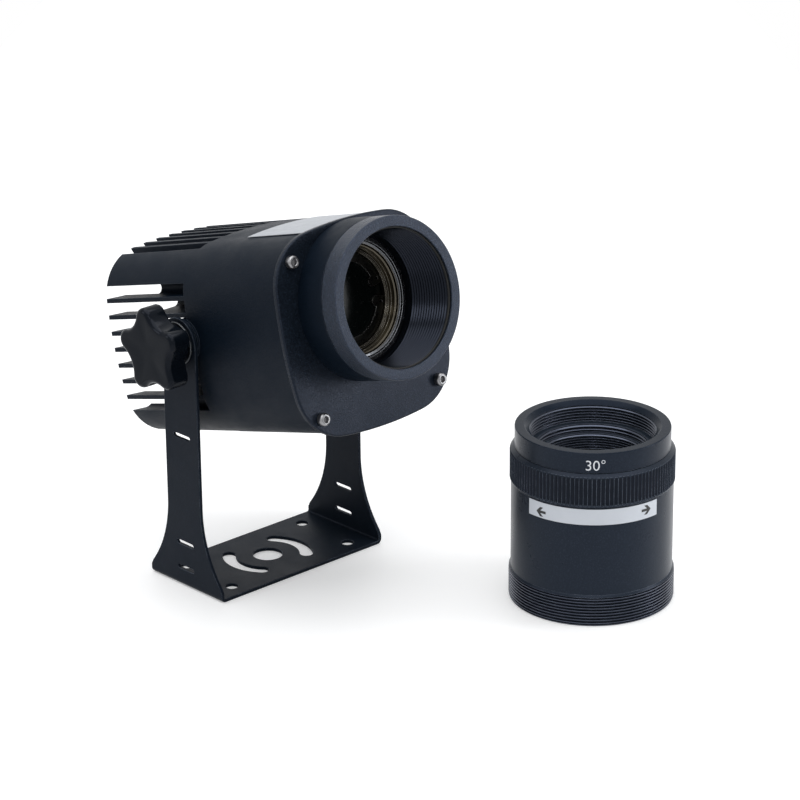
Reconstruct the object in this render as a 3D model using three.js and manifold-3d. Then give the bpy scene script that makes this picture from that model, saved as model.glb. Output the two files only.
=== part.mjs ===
// Gobo projector: a finned lamp head that tilts in a sheet-metal yoke, a gobo holder that slides out of
// its barrel, and the projection lens that stands beside it.
// Millimetres, +Z up. The beam leaves towards -Y and rises by the head's tilt.
// The head is built in a frame of its own: X to the right, Y up, Z along the beam, origin on the tilt axis.

import * as THREE from "three";
import { mergeVertices } from "three/addons/utils/BufferGeometryUtils.js";
import Module from "manifold-3d";

const wasm = await Module();
wasm.setup();

// Fits that all pieces share
const seat = 0.15;
const slip = 0.3;
const overrun = 5;

// Facets round a circle
const wideFacets = 32;
const midFacets = 20;
const smallFacets = 12;

// Head body: a square extrusion with crowned sides, finned behind and hollow in front
const bodyHalf = 54.1;
const bodyDraft = 1.6;
const crownRadius = 250;
const bodyCorner = 27.5;
const bodyDrop = 4.7;
const bodyRear = 67.3;
const plateFront = 86.8;
const plateThickness = 3;
const plateOverhang = 2.9;
const plateChamfer = 1;
const gasketThickness = 0.5;
const gasketInset = 0.5;
const gasketWidth = 3;
const chamberFloor = 12.4;
const chamberWall = 4;
const tilt = THREE.MathUtils.degToRad(15.5);

// Heat sink fins
const groovesPerFace = 8;
const finMargin = 17.3;
const finThickness = 2.4;
const webThickness = 8.5;
const coreHalf = 22;
const grooveFront = 3.9;
const finDepth = 9;
const pocketFloor = 30.7;
const finBevel = 5.5;
const finTip = 0.6;

// Plate screws
const screwInset = 11.5;
const screwRadius = 2;
const screwLength = 14;
const screwHeadRadius = 3.5;
const screwHeadHeight = 4;
const screwHeadCrown = 1;
const screwSocketRadius = 1.7;
const screwSocketDepth = 2;
const screwBossRadius = 6;

// Yoke
const sideGap = 1;
const yokeSheet = 2;
const yokeBend = 3;
const yokeDepth = 61;
const pivotHeight = 145.3;
const armHalfWidth = 14;
const flareTop = 50;
const flareRadius = 66;
const footCorner = 3;
const armSlotLength = 14;
const armSlotHeight = 2.4;
const lowSlotHeight = 11.5;
const middleSlotHeight = 26.5;
const highSlotHeight = 90.5;
const baseHoleRadius = 8.5;
const arcSlotRadius = 22;
const arcSlotWidth = 7.5;
const arcSlotReach = THREE.MathUtils.degToRad(41);
const cornerHoleInset = 16.5;
const cornerHoleAlong = 19.5;
const cornerHoleRadius = 3.6;

// Tilt clamps, one on each side
const pivotBossRadius = 12;
const pivotBossProud = 1.9;
const bushRadius = 7;
const bushLength = 16;
const studRadius = 4;
const studDepthInBush = 13;
const studDepthInKnob = 14;
const frictionWasherRadius = 11;
const pressureWasherRadius = 12;
const pressureWasherThickness = 1.2;
const knobHubRadius = 11;
const knobHubLength = 7.6;
const knobThickness = 12.8;
const knobTipRadius = 24.2;
const knobValleyRadius = 17.6;
const knobLobeRadius = 6;
const knobLobes = 5;
const knobEdge = 1.5;
const knobTurn = THREE.MathUtils.degToRad(-4);

// Barrel on the optical axis
const axisRise = 7.9;
const barrelMargin = 0.7;
const barrelFront = 117.8;
const barrelWall = 6.7;
const collarLength = 11.2;
const seamGap = 0.3;
const barrelChamfer = 0.6;
const sleeveWall = 1.2;
const spigotWall = 1.8;
const mouthDepth = 3.6;
const mouthLip = 1;
const mouthFlare = 0.7;
const oRingThickness = 1.3;

// Gobo gate and the holder that slides into it
const gateDepth = 37.5;
const gateFlange = 2;
const gateWall = 2.2;
const gateLedge = 2.7;
const gateOpeningInset = 7;
const holderMargin = 6;
const holderLength = 14.5;
const holderProud = 4;
const holderMouthWall = 2;
const holderStepWall = 4;
const holderBoreWall = 5;
const holderMouthDepth = 6;
const holderStepDepth = 1.2;
const holderLip = 1.8;
const holderLipWidth = 4.5;
const snapRingWidth = 4.8;
const snapRingThickness = 1.4;
const snapRingGap = THREE.MathUtils.degToRad(8);
const eyeletRadius = 3;
const eyeletTurn = THREE.MathUtils.degToRad(15);
const eyeletHoleRadius = 0.9;
const eyeletHoleInset = 1.8;
const goboThickness = 2;

// Condenser and lamp
const cellInset = 5;
const cellLength = 33.6;
const cellFlange = 3;
const cellWall = 3.7;
const cellLip = 2;
const cellLipWidth = 2.8;
const condenserEdge = 3;
const condenserSag = 6;
const condenserSpacer = 8;
const condenserRingWidth = 2.5;
const condenserRingThickness = 3;
const spreaderRadius = 16;
const spreaderThickness = 5;
const boardRadius = 12;
const boardThickness = 1.6;
const emitterSide = 11;
const emitterHeight = 2;
const driverInset = 22.1;
const driverHeight = 20;
const driverLength = 46;
const driverCorner = 2;
const driverRise = 18.1;

// Cable gland in the rear pocket
const glandDrop = 12;
const glandThreadRadius = 5.9;
const glandThreadLength = 9;
const glandHexRadius = 11;
const glandHexThickness = 5;
const glandNeckRadius = 8;
const glandNeckLength = 7;
const glandBore = 4;
const glandNutWall = 2.2;
const glandNutHexRadius = 12.2;
const glandNutHexLength = 6;
const glandNutDome = 4;
const glandNutMouth = 5.2;
const glandSealBore = 3;

// Bare label on the crown of the body
const labelInset = 28.6;
const labelRear = 34;
const labelFrontMargin = 1.5;
const labelThickness = 0.3;

// Projection lens, standing on its threaded end
const lensAcross = 97;
const lensForward = 161.2;
const lensHeight = 100;
const lensRadius = 44.6;
const lensThreadRadius = 45.7;
const lensThreadLength = 17;
const lensThreadChamfer = 0.6;
const gripHeight = 19.2;
const lensNeckRadius = 42;
const frontRingHeight = 11.8;
const gripRadius = 45.3;
const gripChamfer = 1.4;
const frontRingRadius = 42.7;
const frontRingChamfer = 0.6;
const frontConeRadius = 37;
const frontConeDepth = 2.5;
const frontOpening = 34.1;
const lensBore = 34.4;
const upperRingOpening = 30;
const upperRingHeight = 4.8;
const lowerRingOpening = 28;
const lowerRingHeight = 10;
const elementEdge = 5;
const elementSag = 4;
const spacerWall = 3;
const lensFootRecess = 8;
const lensFootRadius = 41;
const lensFootLip = 4;
const lensFootOpening = 31;
const lensLabelDrop = 9.5;
const lensLabelHeight = 9;
const lensLabelHeading = THREE.MathUtils.degToRad(-137.2);
const lensLabelReach = THREE.MathUtils.degToRad(51.6);

// Places worked out from the sizes above
const quarter = Math.PI / 2;
const bodyFront = plateFront - plateThickness - 2 * seat - gasketThickness;
const plateHalf = bodyHalf + plateOverhang;
const finPitch = (2 * (bodyHalf - finMargin)) / groovesPerFace;
const screwOffset = bodyHalf - screwInset;
const driverWidth = 2 * (bodyHalf - driverInset);
const driverDrop = bodyHalf - driverRise;
const armInner = plateHalf + sideGap;
const armOuter = armInner + yokeSheet;
const cornerHoleAcross = armOuter - cornerHoleInset;
const halfDepth = yokeDepth / 2;
const pivotBossFace = bodyHalf + pivotBossProud;
const pressureWasherFace = armOuter + seat + pressureWasherThickness;
const knobHubFace = pressureWasherFace + seat;
const knobStarFace = knobHubFace + knobHubLength;
const barrelRadius = plateHalf - bodyDrop - axisRise - barrelMargin;
const barrelSeam = barrelFront - collarLength;
const boreRadius = barrelRadius - barrelWall;
const mouthRadius = boreRadius + mouthFlare;
const sleeveRadius = boreRadius + sleeveWall;
const barrelBore = sleeveRadius + seat;
const spigotRadius = barrelBore + spigotWall;
const sleeveFront = barrelFront - mouthDepth;
const holderRadius = boreRadius - holderMargin;
const holderMouthRadius = holderRadius - holderMouthWall;
const holderStepRadius = holderRadius - holderStepWall;
const holderBoreRadius = holderRadius - holderBoreWall;
const holderLipRadius = holderBoreRadius - holderLipWidth;
const gateFloor = barrelFront - gateDepth;
const gateOpening = holderRadius - gateOpeningInset;
const gateRadius = holderRadius + slip + gateWall;
const gateBack = gateFloor - gateFlange;
const spigotRear = gateBack - seat - gateLedge;
const holderRear = gateFloor + holderProud - holderLength;
const gateRear = holderRear - slip - gateLedge;
const cellRadius = holderRadius - cellInset;
const cellBore = cellRadius - cellWall;
const cellLipRadius = cellBore - cellLipWidth;
const lensInnerRadius = lensBore - slip;
const lensNeckTop = lensHeight - frontRingHeight;
const lensShoulder = lensNeckTop - gripHeight;
const lensLabelBottom = lensShoulder - lensLabelDrop;

const X = new THREE.Vector3(1, 0, 0);
const Y = new THREE.Vector3(0, 1, 0);
const Z = new THREE.Vector3(0, 0, 1);

// Looks
const blackCoat = { color: 0x23282f, roughness: 0.5, metalness: 0.35 };
const blackRubber = { color: 0x101214, roughness: 0.85, metalness: 0 };
const blackPlastic = { color: 0x131518, roughness: 0.3, metalness: 0 };
const steel = { color: 0xb9bcc0, roughness: 0.3, metalness: 1 };
const bareAluminium = { color: 0xc9ccd0, roughness: 0.42, metalness: 0.9 };
const labelSilver = { color: 0xd4d6d9, roughness: 0.4, metalness: 0.8 };
const brass = { color: 0xb08d4a, roughness: 0.35, metalness: 1 };
const darkGlass = { color: 0x2a3a38, roughness: 0.05, metalness: 0 };
const clearGlass = { color: 0xdfe8ea, roughness: 0.04, metalness: 0 };
const boardWhite = { color: 0xe6e6e0, roughness: 0.5, metalness: 0.1 };
const emitterYellow = { color: 0xe8c53a, roughness: 0.35, metalness: 0 };
const driverGrey = { color: 0x8d9094, roughness: 0.5, metalness: 0.4 };

/** The piece of that name, with a material of its own. */
function piece(name, geometry, look) {
  const shape = welded(geometry).toNonIndexed();
  shape.computeVertexNormals();
  const mesh = new THREE.Mesh(shape, new THREE.MeshStandardMaterial(look));
  mesh.name = name;
  return mesh;
}

/** A group that holds some pieces at a place in its parent. */
function groupAt(x, y, z, ...children) {
  const group = new THREE.Group();
  group.position.set(x, y, z);
  group.add(...children);
  return group;
}

/** The same geometry with its seams closed: points that meet become one. */
function welded(geometry) {
  const plain = geometry.clone();
  plain.deleteAttribute("normal");
  plain.deleteAttribute("uv");
  return mergeVertices(plain);
}

/** A closed geometry as a solid that can be cut and joined. */
function solid(geometry) {
  const merged = welded(geometry);
  return new wasm.Manifold(
    new wasm.Mesh({
      numProp: 3,
      vertProperties: merged.attributes.position.array,
      triVerts: new Uint32Array(merged.index.array),
    }),
  );
}

/** A solid as a geometry again, with flat faces. */
function geometryOf(made) {
  const mesh = made.getMesh();
  const shared = new THREE.BufferGeometry();
  shared.setAttribute("position", new THREE.BufferAttribute(mesh.vertProperties, mesh.numProp));
  shared.setIndex(new THREE.BufferAttribute(mesh.triVerts, 1));
  const flat = shared.toNonIndexed();
  flat.computeVertexNormals();
  return flat;
}

/** What is left of a base once all the cutters are taken away. */
function cut(base, cutters) {
  return cutters.reduce((rest, cutter) => rest.subtract(cutter), base);
}

/** Points along an arc, both ends among them. */
function arc(x, y, radius, from, to, steps) {
  const points = [];
  for (let i = 0; i <= steps; i += 1) {
    const angle = from + ((to - from) * i) / steps;
    points.push(new THREE.Vector2(x + radius * Math.cos(angle), y + radius * Math.sin(angle)));
  }
  return points;
}

/** An outline drawn out along Z between two heights. */
function drawn(outline, from, to) {
  const shape = new THREE.Shape(outline);
  const geometry = new THREE.ExtrudeGeometry(shape, { depth: to - from, bevelEnabled: false });
  return geometry.translate(0, 0, from);
}

/** A closed profile of radius and height pairs, turned about Z. A ring's profile closes on itself. */
function turned(profile, facets) {
  const points = profile.map(([radius, height]) => new THREE.Vector2(radius, height));
  if (THREE.ShapeUtils.area(points) < 0) {
    points.reverse();
  }
  const last = points[points.length - 1];
  if (points[0].x !== 0 || last.x !== 0) {
    points.push(points[0].clone());
  }
  return new THREE.LatheGeometry(points, facets).rotateX(quarter);
}

/** A plain round bar along Z. */
function bar(radius, from, to, facets) {
  return turned([[0, from], [radius, from], [radius, to], [0, to]], facets);
}

/** A plain ring about Z. */
function ring(inner, outer, from, to, facets) {
  return turned([[inner, from], [outer, from], [outer, to], [inner, to]], facets);
}

/** A geometry laid so that its own X and Y follow two directions, and its Z their cross product. */
function laid(geometry, x, y) {
  const z = new THREE.Vector3().crossVectors(x, y);
  return geometry.applyMatrix4(new THREE.Matrix4().makeBasis(x, y, z));
}

/** A closed skin over outlines of equal length at rising heights. */
function lofted(levels) {
  const count = levels[0].outline.length;
  const positions = levels.flatMap(({ outline, z }) => outline.flatMap((point) => [point.x, point.y, z]));
  const faces = [];
  for (let level = 0; level + 1 < levels.length; level += 1) {
    for (let i = 0; i < count; i += 1) {
      const a = level * count + i;
      const b = level * count + ((i + 1) % count);
      faces.push(a, b, b + count, a, b + count, a + count);
    }
  }
  const top = (levels.length - 1) * count;
  for (const [a, b, c] of THREE.ShapeUtils.triangulateShape(levels[0].outline, [])) {
    faces.push(a, c, b, top + a, top + b, top + c);
  }
  const geometry = new THREE.BufferGeometry();
  geometry.setAttribute("position", new THREE.Float32BufferAttribute(positions, 3));
  geometry.setIndex(faces);
  return geometry;
}

/** The body's section, grown or shrunk evenly: four crowned sides with round corners tangent to them. */
function bodyOutline(growth) {
  const crownBack = crownRadius - bodyHalf;
  const span = crownRadius - bodyCorner;
  const cornerCentre = (Math.sqrt(2 * span * span - crownBack * crownBack) - crownBack) / 2;
  const spread = Math.asin(cornerCentre / span);
  const points = [];
  for (let side = 0; side < 4; side += 1) {
    const turn = side * quarter;
    const crown = new THREE.Vector2(-crownBack, 0).rotateAround(new THREE.Vector2(), turn);
    const corner = new THREE.Vector2(cornerCentre, cornerCentre).rotateAround(new THREE.Vector2(), turn);
    points.push(...arc(crown.x, crown.y, crownRadius + growth, turn - spread, turn + spread, 3));
    points.pop();
    points.push(
      ...arc(corner.x, corner.y, bodyCorner + growth, turn + spread, turn + quarter - spread, 7),
    );
    points.pop();
  }
  return points;
}

/** How much the drafted body has grown at a place along the beam. */
function draftAt(z) {
  return (bodyDraft * (z + bodyRear)) / (bodyFront + bodyRear);
}

/** A skin between two places along the beam that follows the drafted body at a distance. */
function bodySkin(distance, from, to) {
  return lofted([
    { outline: bodyOutline(distance + draftAt(from)), z: from },
    { outline: bodyOutline(distance + draftAt(to)), z: to },
  ]);
}

/** The four places of the plate screws about the middle of the body. */
function screwPlaces() {
  return [0, 1, 2, 3].map((side) =>
    new THREE.Vector2(screwOffset, screwOffset).rotateAround(new THREE.Vector2(), side * quarter),
  );
}

/** The four holes that the plate screws need, from their own ends to past the front plate. */
function screwHoles() {
  return screwPlaces().map(({ x, y }) =>
    solid(
      bar(screwRadius + slip, plateFront - screwLength - slip, plateFront + overrun, smallFacets).translate(x, y, 0),
    ),
  );
}

/** One groove of the heat sink, open upwards, with a full-radius bottom that a diagonal web carries. */
function grooveOutline(middle) {
  const radius = (finPitch - finThickness) / 2;
  const bottom = Math.max(Math.abs(middle) + webThickness, coreHalf) + radius;
  const open = bodyHalf + overrun;
  return [
    new THREE.Vector2(middle - radius, open),
    ...arc(middle, bottom, radius, Math.PI, 2 * Math.PI, 5),
    new THREE.Vector2(middle + radius, open),
  ];
}

/** All grooves: the same row on each of the four sides. */
function grooves() {
  const cutters = [];
  for (let side = 0; side < 4; side += 1) {
    for (let i = 0; i < groovesPerFace; i += 1) {
      const middle = (i - (groovesPerFace - 1) / 2) * finPitch;
      const groove = drawn(grooveOutline(middle), -bodyRear - overrun, grooveFront);
      cutters.push(solid(groove.rotateZ(side * quarter)));
    }
  }
  return cutters;
}

/** The hollow behind the fins, with the bevel that slopes their rear ends inwards. */
function rearPocket() {
  const slope = (finDepth - finTip) / finBevel;
  const well = drawn(bodyOutline(-finDepth), -bodyRear - overrun, -pocketFloor);
  const bevel = lofted([
    { outline: bodyOutline(overrun * slope - finTip), z: -bodyRear - overrun },
    { outline: bodyOutline(-finDepth), z: finBevel - bodyRear },
  ]);
  return [solid(well), solid(bevel)];
}

/** The space that the barrel's spigot needs, from its own rear end to past the front plate. */
function spigotSpace() {
  const space = bar(spigotRadius + slip, spigotRear - slip, plateFront + overrun, wideFacets);
  return solid(space.translate(0, bodyDrop + axisRise, 0));
}

/** The lamp chamber behind the front plate, less the bosses that take the plate screws. */
function lampChamber() {
  const hollow = solid(bodySkin(-chamberWall, chamberFloor, bodyFront + overrun));
  const bosses = screwPlaces().map(({ x, y }) =>
    solid(bar(screwBossRadius, chamberFloor - overrun, bodyFront + 2 * overrun, smallFacets).translate(x, y, 0)),
  );
  return cut(hollow, bosses);
}

function heatsinkHousing() {
  const block = solid(bodySkin(0, -bodyRear, bodyFront));
  let housing = cut(block, [...grooves(), ...rearPocket(), lampChamber()]);
  const boss = bar(pivotBossRadius, coreHalf / 2, pivotBossFace, midFacets);
  const socket = bar(bushRadius + seat, pivotBossFace - bushLength - seat, pivotBossFace + overrun, smallFacets);
  for (const side of [-1, 1]) {
    const outward = (geometry) => solid(laid(geometry, Y, Z.clone().multiplyScalar(side)).translate(0, bodyDrop, 0));
    housing = housing.add(outward(boss.clone())).subtract(outward(socket.clone()));
  }
  const cableBore = bar(glandThreadRadius + seat, -pocketFloor - overrun, chamberFloor + overrun, smallFacets);
  return geometryOf(cut(housing, [solid(cableBore.translate(0, -glandDrop, 0)), spigotSpace(), ...screwHoles()]));
}

function plateGasket() {
  const from = bodyFront + seat;
  const to = from + gasketThickness;
  const edge = bodyDraft - gasketInset;
  const outer = solid(drawn(bodyOutline(edge), from, to));
  const inner = solid(drawn(bodyOutline(edge - gasketWidth), from - overrun, to + overrun));
  return geometryOf(cut(outer, [inner, spigotSpace(), ...screwHoles()]));
}

function frontPlate() {
  const rear = plateFront - plateThickness;
  const blank = solid(
    lofted([
      { outline: bodyOutline(plateOverhang), z: rear },
      { outline: bodyOutline(plateOverhang), z: plateFront - plateChamfer },
      { outline: bodyOutline(plateOverhang - plateChamfer), z: plateFront },
    ]),
  );
  return geometryOf(cut(blank, [spigotSpace(), ...screwHoles()]));
}

/** A socket cap screw, its head resting on the plate. */
function plateScrew() {
  const under = plateFront + seat;
  const top = under + screwHeadHeight;
  const blank = turned(
    [
      [0, plateFront - screwLength],
      [screwRadius, plateFront - screwLength],
      [screwRadius, under],
      [screwHeadRadius, under],
      [screwHeadRadius, top - screwHeadCrown],
      [screwHeadRadius - screwHeadCrown, top],
      [0, top],
    ],
    smallFacets,
  );
  const socket = bar(screwSocketRadius, top - screwSocketDepth, top + overrun, 6);
  return geometryOf(solid(blank).subtract(solid(socket)));
}

/** The bare label, curved as the crown that it lies on. */
function topLabel() {
  const from = labelRear;
  const to = bodyFront - labelFrontMargin;
  const skin = solid(bodySkin(seat + labelThickness, from, to));
  const under = solid(bodySkin(seat, from - overrun, to + overrun));
  const half = bodyHalf - labelInset;
  const window = drawn(
    [
      new THREE.Vector2(-half, 0),
      new THREE.Vector2(half, 0),
      new THREE.Vector2(half, bodyHalf + overrun),
      new THREE.Vector2(-half, bodyHalf + overrun),
    ],
    from - overrun,
    to + overrun,
  );
  return geometryOf(skin.subtract(under).intersect(solid(window)));
}

function barrelBase() {
  return turned(
    [
      [gateRadius + slip, spigotRear],
      [spigotRadius, spigotRear],
      [spigotRadius, plateFront + seat],
      [barrelRadius, plateFront + seat],
      [barrelRadius, barrelSeam - seamGap],
      [barrelBore, barrelSeam - seamGap],
      [barrelBore, gateBack - seat],
      [gateRadius + slip, gateBack - seat],
    ],
    wideFacets,
  );
}

function barrelCollar() {
  return turned(
    [
      [barrelBore, barrelSeam],
      [barrelRadius, barrelSeam],
      [barrelRadius, barrelFront - barrelChamfer],
      [barrelRadius - barrelChamfer, barrelFront],
      [mouthRadius + barrelChamfer, barrelFront],
      [mouthRadius, barrelFront - barrelChamfer],
      [mouthRadius, barrelFront - mouthLip],
      [barrelBore, barrelFront - mouthLip],
    ],
    wideFacets,
  );
}

function mouthORing() {
  const radius = oRingThickness / 2;
  const middle = (sleeveFront + barrelFront - mouthLip) / 2;
  const profile = arc(barrelBore - seat - radius, middle, radius, 0, 2 * Math.PI, 6);
  profile.pop();
  return turned(profile.map(({ x, y }) => [x, y]), wideFacets);
}

function goboGate() {
  return turned(
    [
      [gateOpening, gateRear],
      [gateRadius, gateRear],
      [gateRadius, gateBack],
      [sleeveRadius, gateBack],
      [sleeveRadius, gateFloor],
      [holderRadius + slip, gateFloor],
      [holderRadius + slip, gateRear + gateLedge],
      [gateOpening, gateRear + gateLedge],
    ],
    wideFacets,
  );
}

/** The steel ring that carries the gobo, stepped inside. */
function goboHolderRing() {
  const front = holderRear + holderLength;
  const stepTop = front - holderMouthDepth;
  const boreTop = stepTop - holderStepDepth;
  return turned(
    [
      [holderLipRadius, holderRear],
      [holderRadius, holderRear],
      [holderRadius, front],
      [holderMouthRadius, front],
      [holderMouthRadius, stepTop],
      [holderStepRadius, stepTop],
      [holderStepRadius, boreTop],
      [holderBoreRadius, boreTop],
      [holderBoreRadius, holderRear + holderLip],
      [holderLipRadius, holderRear + holderLip],
    ],
    wideFacets,
  );
}

function goboGlass() {
  const from = holderRear + holderLip + seat;
  return bar(holderBoreRadius - slip, from, from + goboThickness, midFacets);
}

/** The open snap ring over the gobo, with a pierced eye at each end. */
function goboSnapRing() {
  const from = holderRear + holderLip + 2 * seat + goboThickness;
  const to = from + snapRingThickness;
  const outer = holderBoreRadius - seat;
  const inner = outer - snapRingWidth;
  const outline = [
    ...arc(0, 0, outer, snapRingGap, 2 * Math.PI - snapRingGap, midFacets),
    ...arc(0, 0, inner, 2 * Math.PI - snapRingGap, snapRingGap, midFacets),
  ];
  const at = (geometry, radius, angle) =>
    solid(geometry.translate(radius * Math.cos(angle), radius * Math.sin(angle), 0));
  const flat = solid(drawn(outline, from, to));
  const eyes = [-1, 1].map((end) => at(bar(eyeletRadius, from, to, smallFacets), inner, end * eyeletTurn));
  const holes = [-1, 1].map((end) =>
    at(
      bar(eyeletHoleRadius, from - overrun, to + overrun, smallFacets),
      outer - eyeletHoleInset,
      end * eyeletTurn,
    ),
  );
  return geometryOf(cut(eyes.reduce((ringSoFar, eye) => ringSoFar.add(eye), flat), holes));
}

/** A lens element: a flat rear face, a cylindrical edge and a domed front face. */
function lensElement(radius, from, edge, sag) {
  const steps = 3;
  const profile = [[0, from], [radius, from]];
  for (let i = steps; i >= 0; i -= 1) {
    profile.push([(radius * i) / steps, from + edge + sag * (1 - (i / steps) ** 2)]);
  }
  return turned(profile, midFacets);
}

/** How high a curved face stands above its edge where a ring of that opening rests on it. */
function restHeight(sag, radius, opening) {
  return sag * (1 - (opening / radius) ** 2) + seat;
}

/** Where the pieces in the condenser cell begin, from the lamp's side on. */
function cellPlaces() {
  const glassRadius = cellBore - seat;
  const opening = glassRadius - condenserRingWidth;
  const rest = condenserEdge + restHeight(condenserSag, glassRadius, opening);
  const rear = gateRear - seat - cellLength;
  const rearLens = rear + cellLip + seat;
  const spacer = rearLens + rest;
  const frontLens = spacer + condenserSpacer + seat;
  const retainer = frontLens + rest;
  return { glassRadius, opening, rear, rearLens, spacer, frontLens, retainer };
}

function condenserCell() {
  const { rear } = cellPlaces();
  const front = rear + cellLength;
  return turned(
    [
      [cellLipRadius, rear],
      [cellRadius, rear],
      [cellRadius, front - cellFlange],
      [gateRadius, front - cellFlange],
      [gateRadius, front],
      [cellBore, front],
      [cellBore, rear + cellLip],
      [cellLipRadius, rear + cellLip],
    ],
    midFacets,
  );
}

function condenserLensRear() {
  const { glassRadius, rearLens } = cellPlaces();
  return lensElement(glassRadius, rearLens, condenserEdge, condenserSag);
}

function condenserSpacerRing() {
  const { glassRadius, opening, spacer } = cellPlaces();
  return ring(opening, glassRadius, spacer, spacer + condenserSpacer, midFacets);
}

function condenserLensFront() {
  const { glassRadius, frontLens } = cellPlaces();
  return lensElement(glassRadius, frontLens, condenserEdge, condenserSag);
}

function condenserRetainer() {
  const { glassRadius, opening, retainer } = cellPlaces();
  return ring(opening, glassRadius, retainer, retainer + condenserRingThickness, midFacets);
}

function ledSpreader() {
  const from = chamberFloor + seat;
  return bar(spreaderRadius, from, from + spreaderThickness, midFacets);
}

function ledBoard() {
  const from = chamberFloor + 2 * seat + spreaderThickness;
  return bar(boardRadius, from, from + boardThickness, midFacets);
}

function ledEmitter() {
  const from = chamberFloor + 3 * seat + spreaderThickness + boardThickness;
  const block = new THREE.BoxGeometry(emitterSide, emitterSide, emitterHeight);
  return block.translate(0, 0, from + emitterHeight / 2);
}

function driverBox() {
  const across = driverWidth / 2 - driverCorner;
  const high = driverHeight / 2 - driverCorner;
  const from = chamberFloor + seat;
  const outline = [
    ...arc(across, high, driverCorner, 0, quarter, 3),
    ...arc(-across, high, driverCorner, quarter, 2 * quarter, 3),
    ...arc(-across, -high, driverCorner, 2 * quarter, 3 * quarter, 3),
    ...arc(across, -high, driverCorner, 3 * quarter, 4 * quarter, 3),
  ];
  return drawn(outline, from, from + driverLength);
}

/** The gland's body: a threaded tail, a hexagon against the pocket floor and a neck for the nut. */
function glandBody() {
  const hexTop = seat + glandHexThickness;
  const stem = turned(
    [
      [0, -glandThreadLength],
      [glandThreadRadius, -glandThreadLength],
      [glandThreadRadius, hexTop / 2],
      [glandNeckRadius, hexTop / 2],
      [glandNeckRadius, hexTop + glandNeckLength],
      [0, hexTop + glandNeckLength],
    ],
    smallFacets,
  );
  const hexagon = bar(glandHexRadius, seat, hexTop, 6);
  const bore = bar(glandBore, -glandThreadLength - overrun, hexTop + glandNeckLength + overrun, smallFacets);
  return geometryOf(solid(stem).add(solid(hexagon)).subtract(solid(bore)));
}

/** The gland's domed nut, round its neck. */
function glandNut() {
  const from = 2 * seat + glandHexThickness;
  const inner = glandNeckRadius + seat;
  const outer = inner + glandNutWall;
  const shoulder = seat + glandHexThickness + glandNeckLength + seat;
  const dome = turned(
    [
      [inner, from],
      [outer, from],
      [outer, shoulder],
      [glandNutMouth + glandNutWall / 2, shoulder + glandNutDome],
      [glandNutMouth, shoulder + glandNutDome],
      [glandNutMouth, shoulder],
      [inner, shoulder],
    ],
    smallFacets,
  );
  const hexagon = bar(glandNutHexRadius, from, from + glandNutHexLength, 6);
  const bore = bar(inner, from - overrun, from + glandNutHexLength + overrun, smallFacets);
  return geometryOf(solid(hexagon).subtract(solid(bore)).add(solid(dome)));
}

/** The empty rubber seal in the nut's mouth. */
function glandSeal() {
  const from = 2 * seat + glandHexThickness + glandNeckLength;
  return ring(glandSealBore, glandNutMouth - seat, from, from + glandNutDome, smallFacets);
}

/** The yoke: one bent sheet whose arms flare into the base, pierced for its mountings and the tilt clamps. */
function yokeBracket() {
  const inside = yokeBend - yokeSheet;
  const high = pivotHeight + armHalfWidth;
  const bend = armOuter - yokeBend;
  const channel = [
    ...arc(-bend, yokeBend, yokeBend, 2 * quarter, 3 * quarter, 4),
    ...arc(bend, yokeBend, yokeBend, 3 * quarter, 4 * quarter, 4),
    new THREE.Vector2(armOuter, high),
    new THREE.Vector2(armInner, high),
    ...arc(bend, yokeBend, inside, 4 * quarter, 3 * quarter, 4),
    ...arc(-bend, yokeBend, inside, 3 * quarter, 2 * quarter, 4),
    new THREE.Vector2(-armInner, high),
    new THREE.Vector2(-armOuter, high),
  ];
  const sweep = Math.acos(1 - (halfDepth - footCorner / 2 - armHalfWidth) / flareRadius);
  const footHeight = flareTop - flareRadius * Math.sin(sweep) - footCorner;
  const flare = arc(armHalfWidth + flareRadius, flareTop, flareRadius, Math.PI + sweep, Math.PI, 6);
  const mirrored = flare.map(({ x, y }) => new THREE.Vector2(-x, y)).reverse();
  const armSide = [
    new THREE.Vector2(-halfDepth, 0),
    new THREE.Vector2(halfDepth, 0),
    new THREE.Vector2(halfDepth, footHeight),
    ...flare,
    ...arc(0, pivotHeight, armHalfWidth, 0, Math.PI, 14),
    ...mirrored,
    new THREE.Vector2(-halfDepth, footHeight),
  ];
  const bent = solid(laid(drawn(channel, -halfDepth, halfDepth), X, Z));
  const sides = solid(laid(drawn(armSide, -armOuter - overrun, armOuter + overrun), Y, Z));
  const through = (geometry) => solid(laid(geometry, Y, Z));
  const slotEnd = (armSlotLength - armSlotHeight) / 2;
  const armSlots = [lowSlotHeight, middleSlotHeight, highSlotHeight].map((height) =>
    through(
      drawn(
        [
          ...arc(slotEnd, height, armSlotHeight / 2, -quarter, quarter, 4),
          ...arc(-slotEnd, height, armSlotHeight / 2, quarter, 3 * quarter, 4),
        ],
        -armOuter - overrun,
        armOuter + overrun,
      ),
    ),
  );
  const studHole = through(
    bar(studRadius + slip, -armOuter - overrun, armOuter + overrun, smallFacets).translate(0, pivotHeight, 0),
  );
  return geometryOf(cut(bent.intersect(sides), [...armSlots, studHole, ...baseHoles()]));
}

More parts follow.
